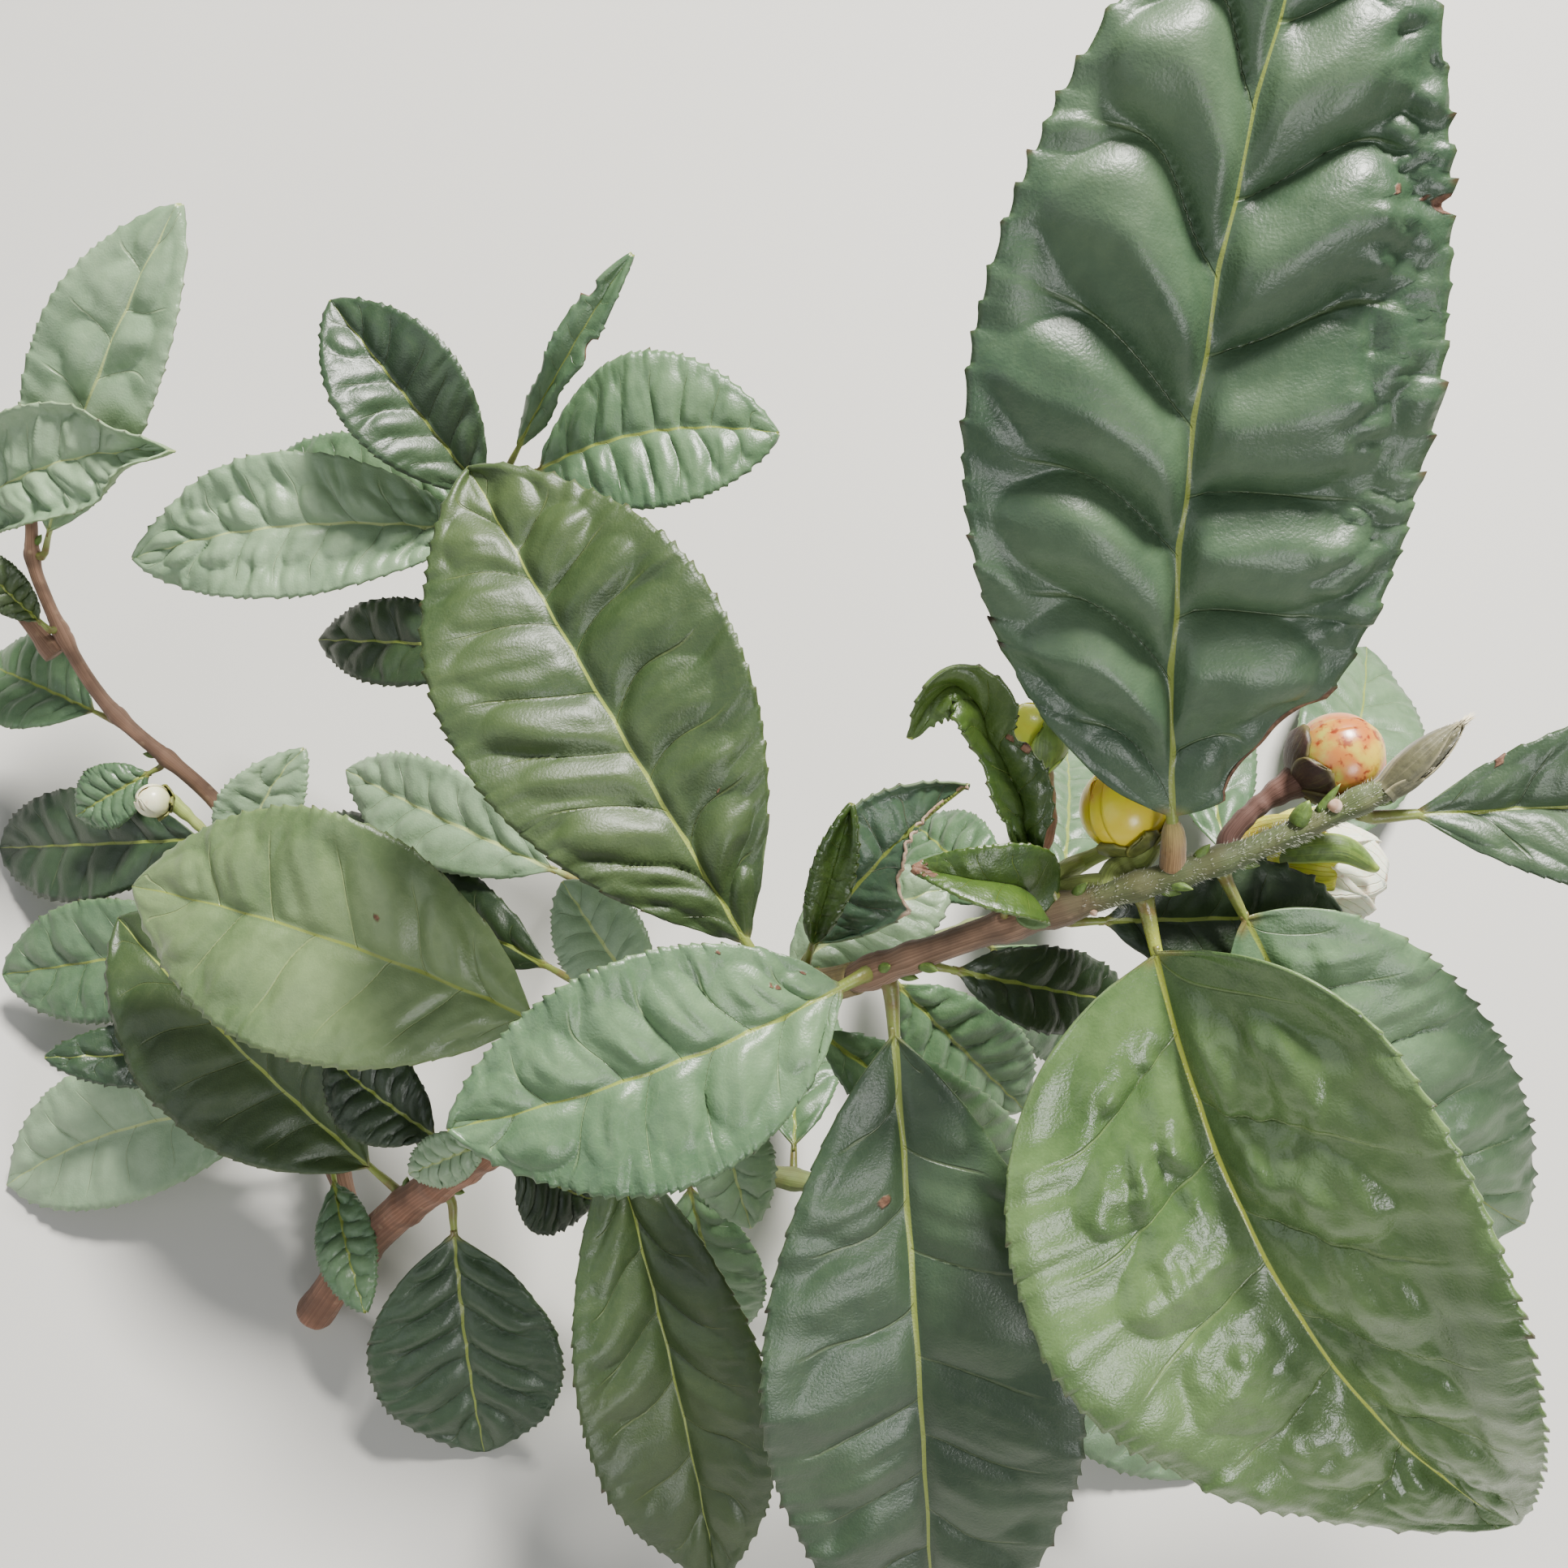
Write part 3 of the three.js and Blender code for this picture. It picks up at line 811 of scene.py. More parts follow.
MAROON_SEPAL = SepalFinish("sepal_maroon", (0.042, 0.018, 0.014), (0.12, 0.1, 0.03))
OLIVE_SEPAL = SepalFinish("sepal_olive", (0.1, 0.115, 0.025), (0.22, 0.22, 0.05))
GREEN_SEPAL = SepalFinish("sepal_green", (0.1, 0.17, 0.03), (0.3, 0.4, 0.06))
SILKY_SCALE = SepalFinish("scale_silky", (0.095, 0.09, 0.036), (0.32, 0.28, 0.15), down=0.35)
SCAR = PlainFinish("leaf_scar", (0.52, 0.38, 0.3), (0.36, 0.22, 0.14), 0.8)
DARK_STALK = BarkFinish("bark_maroon", (0.08, 0.03, 0.018), (0.1, 0.05, 0.02), specks=0.0)
HAIR = PlainFinish("silver_hair", (0.55, 0.56, 0.44), (0.75, 0.74, 0.62), 0.5)
CREAM_DOWN = PlainFinish("cream_down", (0.7, 0.62, 0.42), (0.82, 0.76, 0.58))
STAMEN = PlainFinish("stamen", (0.8, 0.66, 0.2), (0.85, 0.76, 0.36))


# Meshes


class Mesh:
    """A bmesh under way, with the numbers that the finishes read.

    Args:
        name: name of the piece that it becomes.
    """

    LAYERS = ("across", "along", "course", "rib", "spot", "under", "pillow", "tooth", "stalk")

    def __init__(self, name: str) -> None:
        self.name = name
        self.bm = bmesh.new()
        self.layers = {layer: self.bm.verts.layers.float.new(layer) for layer in self.LAYERS}
        self.bake = self.bm.loops.layers.uv.new(BAKE_MAP)
        self.limb = self.bm.loops.layers.uv.new("limb")

    def grid(self, columns: int, rows: int, place: Callable[[float, float], Corner]) -> list[Face]:
        """Adds a grid whose corners are put in place by a function.

        Args:
            columns: cells across.
            rows: cells along.
            place: takes x from -1 to 1 and y from 0 to 1, and gives a point and numbers to store.

        Returns:
            The faces.
        """
        made = bmesh.ops.create_grid(self.bm, x_segments=columns, y_segments=rows, size=1.0)
        faces = list(dict.fromkeys(face for vert in made["verts"] for face in vert.link_faces))
        faces.sort(key=lambda face: face.calc_center_median().to_tuple())
        for vert in made["verts"]:
            x, y = vert.co.x, (vert.co.y + 1) / 2
            for loop in vert.link_loops:
                loop[self.bake].uv = (x, y)
                loop[self.limb].uv = ((x + 1) / 2, y)
        for vert in made["verts"]:
            point, numbers = place(vert.co.x, (vert.co.y + 1) / 2)
            vert.co = point
            for name, value in numbers.items():
                vert[self.layers[name]] = value
        return faces

    def fit_map(self, faces: Iterable[Face], box: Box) -> None:
        """Moves the bake map of faces, which lies in x -1 to 1 and y 0 to 1, into a box of the picture.

        Args:
            faces: the faces.
            box: left, right, bottom and top, from 0 to 1.
        """
        left, right, bottom, top = box
        for face in faces:
            for loop in face.loops:
                x, y = loop[self.bake].uv
                loop[self.bake].uv = (between(left, right, (x + 1) / 2), between(bottom, top, y))

    def blade(
        self, cells: tuple[int, int], place: Callable[[float, float], Corner], thickness: float,
        box: Box = WHOLE,
    ) -> None:
        """Adds a closed blade: a sheet for its underside, and a copy of it for its upper side.

        Args:
            cells: cells across and along.
            place: gives the sheet's corners, as for a grid.
            thickness: in millimetres.
            box: the box of the bake picture that the blade may fill.
        """
        faces = self.grid(*cells, place)
        upper_box, under_box = part_of(box, *UPPER_PART), part_of(box, *UNDER_PART)
        sheet = {vert for face in faces for vert in face.verts}
        made = bmesh.ops.extrude_face_region(self.bm, geom=faces, use_keep_orig=True)["geom"]
        upper = [f for f in made if isinstance(f, Face)]
        copies = [v for v in made if isinstance(v, bmesh.types.BMVert)]
        self.bm.normal_update()
        outside = set(upper)
        facing = {vert: self._facing(vert, outside) for vert in copies}
        for vert, normal in facing.items():
            vert.co += normal * thickness
        for vert in sheet:
            vert[self.layers["under"]] = 1.0
        bmesh.ops.reverse_faces(self.bm, faces=faces)
        rims = {f for vert in sheet for f in vert.link_faces} - set(faces)
        self.fit_map(upper, upper_box)
        self.fit_map(faces, under_box)
        top_uv = {loop.vert: loop[self.bake].uv.copy() for face in upper for loop in face.loops}
        middle = (upper_box[0] + upper_box[1]) / 2
        for face in rims:
            for loop in face.loops:
                low = loop.vert in sheet
                mate = loop.vert
                if low:
                    mate = next(e.other_vert(mate) for e in mate.link_edges if e.other_vert(mate) in top_uv)
                u, v = top_uv[mate]
                out = RIM_SHARE * (box[1] - box[0]) * low
                loop[self.bake].uv = (u + math.copysign(out, u - middle), v)
        bmesh.ops.recalc_face_normals(self.bm, faces=[*faces, *upper, *rims])

    @staticmethod
    def _facing(vert: bmesh.types.BMVert, faces: set[Face]) -> Vector:
        """The mean normal of those of a vertex's faces that are in a set."""
        total = Vector()
        for face in vert.link_faces:
            if face in faces:
                total += face.normal
        return total.normalized()

    def tube(
        self,
        path: Path,
        stations: Sequence[float],
        shape: Callable[[float, float], float] | Sequence[float],
        sides: int,
        box: Box = (0.02, 0.98, 0.02, 0.98),
        numbers: Callable[[float], dict[str, float]] | None = None,
    ) -> None:
        """Adds a limb along a path, closed at both ends.

        Args:
            path: its axis.
            stations: millimetres along the path, from the foot to the tip.
            shape: the radius at each station, or what gives it at millimetres along and a turn from 0 to 1.
            sides: faces around it.
            box: the box of the bake picture that it fills.
            numbers: gives more numbers to store on its vertices at a share of its length.
        """
        last = len(stations) - 1
        rings = []
        side = LIMB_SIDE
        for along in stations:
            tangent = path.tangent(along)
            side = square_to(tangent, side)
            rings.append((path.point(along), side.copy(), side.cross(tangent), along))

        def place(x: float, y: float) -> Corner:
            """One corner of the limb."""
            station = round(y * last)
            centre, right, up, along = rings[station]
            turn = (x + 1) / 2
            angle = math.tau * turn
            radius = shape(along, turn % 1.0) if callable(shape) else shape[station]
            share = along / path.length
            more = numbers(share) if numbers else {}
            return centre + spoke(right, up, angle) * radius, {"along": share, **more}

        faces = self.grid(sides, last, place)
        self.fit_map(faces, box)
        verts = list(dict.fromkeys(vert for face in faces for vert in face.verts))
        foot = rings[0][0]
        pointed = any((vert.co - foot).length < SAME_PLACE for vert in verts)
        bmesh.ops.remove_doubles(self.bm, verts=verts, dist=MERGE_DISTANCE)
        faces = [face for face in faces if face.is_valid]
        loose = list(dict.fromkeys(e for face in faces for e in face.edges if e.is_boundary))
        if loose:
            caps = bmesh.ops.holes_fill(self.bm, edges=loose, sides=0)["faces"]
            for face in caps:
                face.material_index = 1 if not pointed and self._near(face, foot) else 0
            faces += caps
        bmesh.ops.recalc_face_normals(self.bm, faces=faces)

    @staticmethod
    def _near(face: Face, point: Vector) -> bool:
        """Whether a face's middle is within a millimetre of a point."""
        return (face.calc_center_median() - point).length < 1.0

    def piece(self, finishes: Sequence[Finish], slot: str, nodes: Sequence[str] = ()) -> None:
        """Turns the mesh into a piece in the part's frame that rides on the branch.

        Args:
            finishes: one finish for each material slot.
            slot: not used.
            nodes: the CAD nodes that it stands for.
        """
        self.bm.transform(TO_PART)
        for face in self.bm.faces:
            face.smooth = True
        mesh = bpy.data.meshes.new(self.name)
        self.bm.to_mesh(mesh)
        self.bm.free()
        piece = put_in_scene(self.name, mesh)
        for finish in finishes:
            mesh.materials.append(material_of(finish))
        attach(piece, BODY)
        if nodes:
            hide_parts(*nodes)
        LOG.info("%s: %d faces", self.name, len(mesh.polygons))


# Leaves


@dataclass(frozen=True)
class Form:
    """How a leaf is folded and bowed, as in the solids.

    Args:
        fold: degrees that each half rises.
        roll: degrees that it is turned about its length.
        arch: share of the length by which the midrib bows out of the leaf.
        side: share by which it bows to its side.
        base: power of the outline at the foot.
        stalk: length of the stalk in millimetres, if not the usual.
    """

    fold: float = 0.0
    roll: float = 0.0
    arch: float = BLADE_ARCH
    side: float = 0.0
    base: float = BLADE_BASE_POWER
    stalk: float | None = None


@dataclass(frozen=True)
class Spot:
    """A brown or chewed place on a leaf.

    Args:
        across: where it is from one margin, -1, to the other, 1.
        along: where it is from the foot, 0, to the tip, 1.
        size: its radius in millimetres.
        bite: how far the margin is eaten in, in millimetres.
    """

    across: float
    along: float
    size: float
    bite: float = 0.0


@dataclass(frozen=True)
class Crumple:
    """A finely crumpled part of a leaf.

    Args:
        side: the half that it is on, -1 or 1.
        inner: where it starts between midrib, 0, and margin, 1.
        low: where it starts along the blade.
        high: where it ends.
        height: height of its bumps in millimetres.
    """

    side: int
    inner: float
    low: float
    high: float
    height: float


@dataclass(frozen=True)
class Look:
    """What a leaf shows beyond its form.

    Args:
        tint: its finish.
        pairs: pairs of side veins.
        lean: degrees between side veins and midrib, on the halves before and after it.
        loop: where the side veins loop together, between midrib, 0, and margin, 1.
        quilt: height of the pillows between the veins.
        teeth: teeth along each margin.
        tooth: length of a tooth in millimetres.
        wave: height of the margin's waves.
        wrinkle: height of the small wrinkles.
        pleats: height of folds along the midrib, on the halves before and after it.
        crumple: its crumpled part, if any.
        recurve: how far the margin turns down.
        wedge: how much narrower than the solid it starts.
        slim: width beside the solid's.
        pinch: where the blade is pinched, and how much of its width is lost there.
        bumps: height of the bumps between the veins.
        fold: degrees that the halves fold up more than the solid's.
        roll: degrees that the leaf is rolled more than the solid's.
        cells: cells across and along.
        spots: brown or chewed places.
        rib: half the width of the midrib at the foot.
        stalk: radius of the stalk.
        spine: points of the midrib, if it isn't the solid's.
    """

    tint: Tint = Tint.DEEP
    pairs: int = 7
    lean: tuple[float, float] = (52, 52)
    loop: float = 0.8
    quilt: float = 0.7
    teeth: int = 26
    tooth: float = 0.45
    wave: float = 0.5
    wrinkle: float = 0.14
    pleats: tuple[float, float] = (0.0, 0.0)
    crumple: Crumple | None = None
    recurve: float = 0.5
    wedge: float = 0.15
    slim: float = 1.0
    pinch: tuple[float, float] = (0.5, 0.0)
    bumps: float = 0.0
    fold: float = 0.0
    roll: float = 0.0
    cells: tuple[int, int] = (18, 90)
    spots: tuple[Spot, ...] = ()
    rib: float = 0.36
    stalk: float = 0.62
    spine: tuple[Point, ...] = ()


@dataclass
class Leaf:
    """One leaf: a toothed, quilted blade on a round stalk that runs on as its midrib.

    Args:
        name: the CAD node, or its place on a leafy twig.
        stem: the stem that it grows on.
        along: millimetres along the stem.
        tip: its tip in the spray's frame.
        width: its width.
        form: how it is folded and bowed.
        look: what it shows beyond that.
        fused: whether its solid is fused to a leafy twig.
        thickness: thickness of the blade.
    """

    name: str
    stem: Stem
    along: float
    tip: Vector
    width: float
    form: Form
    look: Look
    fused: bool = False
    thickness: float = 0.32

    def __post_init__(self) -> None:
        """Works out the leaf's own frame."""
        self.inside = self.stem.path.point(min(self.along, self.stem.path.length))
        self.foot = self.inside if self.fused else self.stem.seat(self.along, self.tip, STALK_HALF_WIDTH)
        self.chord = self.tip - self.foot
        self.length = self.chord.length
        self.heading = self.chord.normalized()
        facing = square_to(self.heading, OUT_OF_SPRAY)
        roll = math.radians(self.form.roll + self.look.roll)
        self.face = Matrix.Rotation(roll, 3, self.heading) @ facing
        self.across = self.heading.cross(self.face)
        own = self.form.stalk
        self.stalk = (min(STALK_LENGTH, self.length * STALK_SHARE) if own is None else own) / self.length
        self.seed = sum(ord(c) * (i + 3) for i, c in enumerate(self.name)) % 997 / 7.0
        self.spine = Path([self.foot, *map(Vector, self.look.spine)]) if self.look.spine else None

    def noise(self, x: float, y: float, layer: float = 0.0) -> float:
        """Smooth noise of the leaf's own, from about -0.7 to 0.7."""
        return noise.noise(Vector((x, y, self.seed + layer * 7.3)))

    def middle(self, share: float) -> Vector:
        """The midrib's point at a share of the length, in the leaf's middle plane."""
        if self.spine:
            return self.spine.point(self.spine.length * share)
        bow = 4 * share * (1 - share) * self.length
        return (
            self.foot
            + self.chord * share
            + self.face * (bow * self.form.arch)
            + self.across * (bow * self.form.side)
        )

    def frame_at(self, share: float) -> tuple[Vector, Vector, Vector]:
        """The directions along, out of and across the blade at a share of the length."""
        if not self.spine:
            return self.heading, self.face, self.across
        heading = self.spine.tangent(self.spine.length * share)
        face = square_to(heading, self.face)
        return heading, face, heading.cross(face)

    def half_width(self, share: float) -> float:
        """Half the blade's width at a share of the length, without its teeth."""
        base = self.form.base + self.look.wedge
        blade = min(max((share - self.stalk) / (1 - self.stalk), 0.0), 1.0)
        peak = base / (base + BLADE_TIP_POWER)
        full = peak**base * (1 - peak) ** BLADE_TIP_POWER
        at, lost = self.look.pinch
        slim = self.look.slim * (1 - lost * math.exp(-(((share - at) / 0.09) ** 2)))
        return slim * self.width / 2 * blade**base * (1 - blade) ** BLADE_TIP_POWER / full

    def hook(self, blade: float, side: float) -> float:
        """Height from 0 to 1 of the hooked tooth at a share of the blade."""
        phase = (blade * self.look.teeth + 0.35 * side + self.noise(blade * 9, side * 3)) % 1.0
        hook = (phase / 0.84) ** 3.2 if phase < 0.84 else (1 - phase) / 0.16
        vary = 0.85 + 0.5 * self.noise(blade * 23, side * 5, 1)
        return hook * vary * smooth(0.04, 0.14, blade) * smooth(1.0, 0.94, blade)

    def course(self, x: float, blade: float) -> float:
        """How many side veins lie between a place and the foot."""
        wide = abs(x)
        slant = self.width / 2 / math.tan(math.radians(self.look.lean[x > 0])) / self.length
        climb = slant * (wide - 0.45 * wide * wide)
        return self.look.pairs * (blade - climb + 0.045 * self.noise(x * 1.5, blade * 4))

    def pillow(self, x: float, course: float) -> float:
        """Height from 0 to 1 of the pillow between two side veins, which ends in a round loop."""
        lobe = course + (0.5 if x > 0 else 0.0)
        beside = 2 * (lobe % 1.0) - 1
        reach = self.look.loop * (1 + 0.12 * self.noise(math.floor(lobe) * 3.7, math.copysign(1, x), 2))
        end = max(abs(x) - reach * 0.4, 0.0) / (reach * 0.6)
        return max(1 - abs(beside) ** 1.8 - end * end, 0.0) ** 0.85

    def damage(self, x: float, share: float) -> tuple[float, float]:
        """How far the margin is eaten in at a place, and how brown the place is."""
        bite = brown = 0.0
        half = max(self.half_width(share), 0.1)
        for spot in self.look.spots:
            near = (share - spot.along) * self.length
            if not spot.bite:
                reach = math.hypot(near, (x - spot.across) * half)
                reach *= 1 + 0.7 * self.noise(x * 9, share * 50, 4)
                brown = max(brown, smooth(spot.size * 1.4, spot.size * 0.4, reach))
            elif x * spot.across > 0:
                ragged = 1 + 0.14 * self.noise(share * 40, 0.0, 3)
                bite = max(bite, spot.bite * ragged * max(1 - (near / spot.size) ** 2, 0.0) ** 0.5)
                brown = max(brown, smooth(spot.size * 1.5, spot.size, abs(near)) * smooth(0.9, 0.98, abs(x)))
        return bite, brown

    def relief(self, x: float, blade: float, half: float, pillow: float) -> float:
        """Height of the blade's relief at a place, in millimetres.

        Args:
            x: from one margin, -1, to the other, 1.
            blade: from the foot of the blade, 0, to its tip, 1.
            half: half the blade's width there.
            pillow: height of the pillow there, from 0 to 1.

        Returns:
            The height.
        """
        look = self.look
        wide = abs(x)
        course = self.course(x, blade)
        ends = smooth(0.02, 0.14, blade) * smooth(1.0, 0.84, blade)
        size = look.quilt * (1 + 0.7 * self.noise(math.floor(course + 0.5 * (x > 0)) * 2.3, x, 5))
        height = size * (pillow - 0.5) * smooth(0.0, 0.12, wide) * ends
        outer = smooth(look.loop * 0.8, look.loop, wide) * smooth(1.0, 0.9, wide)
        height += look.quilt * 0.07 * outer * math.cos(math.tau * 2 * course)
        wrinkle = look.wrinkle * min(self.width / 16, 1.0)
        height += wrinkle * self.noise(wide * 2.5, course * 4.5, 6) * 2 * smooth(0.0, 0.2, wide) * ends
        along, out = blade * self.length, x * half
        if look.bumps:
            bumps = self.noise(out * 0.5, along * 0.24, 11) * 1.8
            bumps += self.noise(out * 0.8, along * 0.6, 12) * 0.7
            near = smooth(0.04, 0.14, wide) * smooth(look.loop, look.loop * 0.5, wide)
            height += look.bumps * bumps * near * (0.4 + 1.2 * abs(self.noise(0.0, along * 0.08, 13))) * ends
        height += look.wave * self.noise(out * 0.05, along * 0.075, 7) * smooth(0.35, 1.0, wide) * 2.2
        pleat = look.pleats[x > 0]
        if pleat:
            height += pleat * self.noise(wide * 6.5, blade * 3, 8) * 1.6 * ends * smooth(0.0, 0.15, wide)
        zone = look.crumple
        if zone and x * zone.side > 0:
            within = smooth(zone.inner - 0.08, zone.inner + 0.1, wide) * smooth(1.05, 0.9, wide)
            starts = smooth(zone.low - 0.08, zone.low + 0.05, blade)
            within *= starts * smooth(zone.high + 0.08, zone.high - 0.05, blade)
            bumps = 1.6 * abs(self.noise(out * 0.3, along * 0.3, 9))
            bumps += 0.6 * abs(self.noise(out * 0.75, along * 0.75, 10))
            height += zone.height * within * (bumps - 0.5)
        height -= look.recurve * smooth(0.74, 1.05, wide) ** 2 * smooth(0.0, 0.2, blade)
        groove = smooth(1.0, 0.25, wide * half / 1.4) * smooth(0.0, 0.1, blade)
        return height - 0.28 * groove * (1 - 0.7 * blade)

    def place(self, x: float, y: float) -> Corner:
        """One corner of the blade's sheet.

        Args:
            x: from one margin, -1, to the other, 1.
            y: from the foot, 0, to the tip, 1.

        Returns:
            The point, and the numbers that the leaf finish reads.
        """
        share = between(self.stalk * 0.85, 1.0, y)
        blade = max((share - self.stalk) / (1 - self.stalk), 0.0)
        side = math.copysign(1.0, x)
        bite, brown = self.damage(x, share)
        half = max(self.half_width(share) - bite, 0.22 if share < 0.5 else 0.02)
        hook = self.hook(blade, side) * smooth(0.6, 0.1, bite) if half > TOOTHED_HALF_WIDTH else 0.0
        margin = self.look.tooth * hook * abs(x) ** 10
        course = self.course(x, blade)
        pillow = self.pillow(x, course)
        tilt = math.radians(self.form.fold + self.look.fold)
        out = x * half + side * margin
        rise = abs(out) * math.sin(tilt) + self.relief(x, blade, half, pillow)
        heading, face, across = self.frame_at(share)
        point = self.middle(share) + face * (rise - self.thickness / 2) + across * (out * math.cos(tilt))
        point += heading * (margin * 0.8)
        rib = max(self.look.rib * (1 - 0.7 * blade), 0.1)
        numbers = {
            "across": x,
            "along": blade,
            "course": course,
            "rib": abs(x) * half / rib,
            "spot": brown,
            "pillow": pillow,
            "tooth": hook * smooth(0.9, 1.0, abs(x)),
            "stalk": smooth(self.stalk * 1.3, self.stalk * 0.95, share) * smooth(2.0, 0.8, abs(x) * half),
        }
        return above_floor(point), numbers

    def add_to(self, mesh: Mesh, box: Box = WHOLE) -> None:
        """Adds the blade, and the stalk with its midrib.

        Args:
            mesh: the mesh to add them to.
            box: the box of the bake picture that they may fill.
        """
        mesh.blade(self.look.cells, self.place, self.thickness, box)
        left, right, bottom, top = box
        middle = (left + right) / 2
        strip = (right - left) * 0.012
        shares = [i / 16 for i in range(1, 15)]
        points = [self.foot]
        if not self.fused:
            points.insert(0, self.inside.lerp(self.foot, 0.3))
        points += [self.middle(s) - self.frame_at(s)[1] * self.sag(s) for s in shares]
        path = Path([above_floor(point, 1.0) for point in points])

        def radius(along: float, turn: float) -> float:
            """Radius of the stalk and midrib."""
            share = along / path.length
            if share > NEAR_END:
                return 0.0
            stalk = between(self.look.stalk, self.look.stalk * 0.72, min(share / (self.stalk * 1.3), 1.0))
            flare = 0.3 * self.look.stalk * smooth(self.stalk * 0.5, 0.0, share)
            beyond = max(share - self.stalk, 0.0) / (1 - self.stalk)
            return max(stalk * (1 - beyond) ** 2.2 + flare, THINNEST_RIB)

        def numbers(share: float) -> dict[str, float]:
            """Numbers for the leaf finish."""
            return {"stalk": smooth(self.stalk * 1.5, self.stalk * 0.7, share)}

        strip_box = (middle - strip, middle + strip, bottom + 0.015, top - 0.015)
        mesh.tube(path, even_steps(path.length, 48), radius, 10, strip_box, numbers)

    def sag(self, share: float) -> float:
        """How far below the blade's middle plane the midrib's axis lies."""
        depth = between(self.look.stalk * 0.75 + 0.12, 0.2, share)
        return smooth(self.stalk * 0.5, self.stalk * 1.9, share) * depth

    def build(self) -> None:
        """Makes the leaf a piece of its own that stands for its node."""
        mesh = Mesh(f"{self.name}_blade")
        self.add_to(mesh)
        mesh.piece([self.look.tint.value], "leaf", [self.name])


# Name, radii at foot and tip, bark, slimness beside the solid, carrier, place on it, points
STEM_ROWS = (
    (MAIN, (2.9, 1.75), BROWN_BARK, 1.0, None, None,
     ((-71, -80, -88), (-60, -66, -79), (-46, -54, -68), (-26, -40, -50), (-4, -25, -27),
      (7, -20.3, -13.5))),
    (SHOOT, (1.7, 1.25), SHOOT_BARK, 0.88, MAIN, None,
     ((19.6, -14.8, -6), (37, -8.9, -1), (46, -5.7, 0), (56.1, -0.7, 2))),
    ("flower_twig", (1.3, 1.0), PALE_TWIG, 0.85, SHOOT, 18, ((27, -8.8, -5), (29.6, -7.8, -6.5))),
    (CENTRE, (1.6, 1.0), GREEN_BARK, 1.0, MAIN, 72, ((-25, -5, -58), (-32, 20, -68), (-41, 45, -75))),
    (FAR_LEFT, (1.9, 1.1), FAR_BARK, 0.84, MAIN, 17,
     ((-74, -40, -92), (-82, -20, -95), (-88, -4, -96), (-106, 13, -95), (-115, 31, -93), (-115, 41, -90))),
    (LEFT, (1.2, 0.9), FAR_BARK, 1.0, FAR_LEFT, 104, ((-124, 34, -92), (-134, 41, -88))),
    (LOWER, (1.6, 1.1), GREEN_BARK, 1.0, MAIN, 58, ((-12, -52, -66), (14, -58, -72), (38, -62, -74))),
    (UPPER, (1.5, 1.1), GREEN_BARK, 1.0, MAIN, 88,
     ((4, -25, -45), (26, -20, -66), (50, -16, -86), (92, -14, -109))),
)

# Cells across and along for leaves that lie near to the camera, and for wide ones far from it
NEAR = (44, 190)
SMALL_NEAR = (26, 110)
WIDE_FAR = (26, 120)

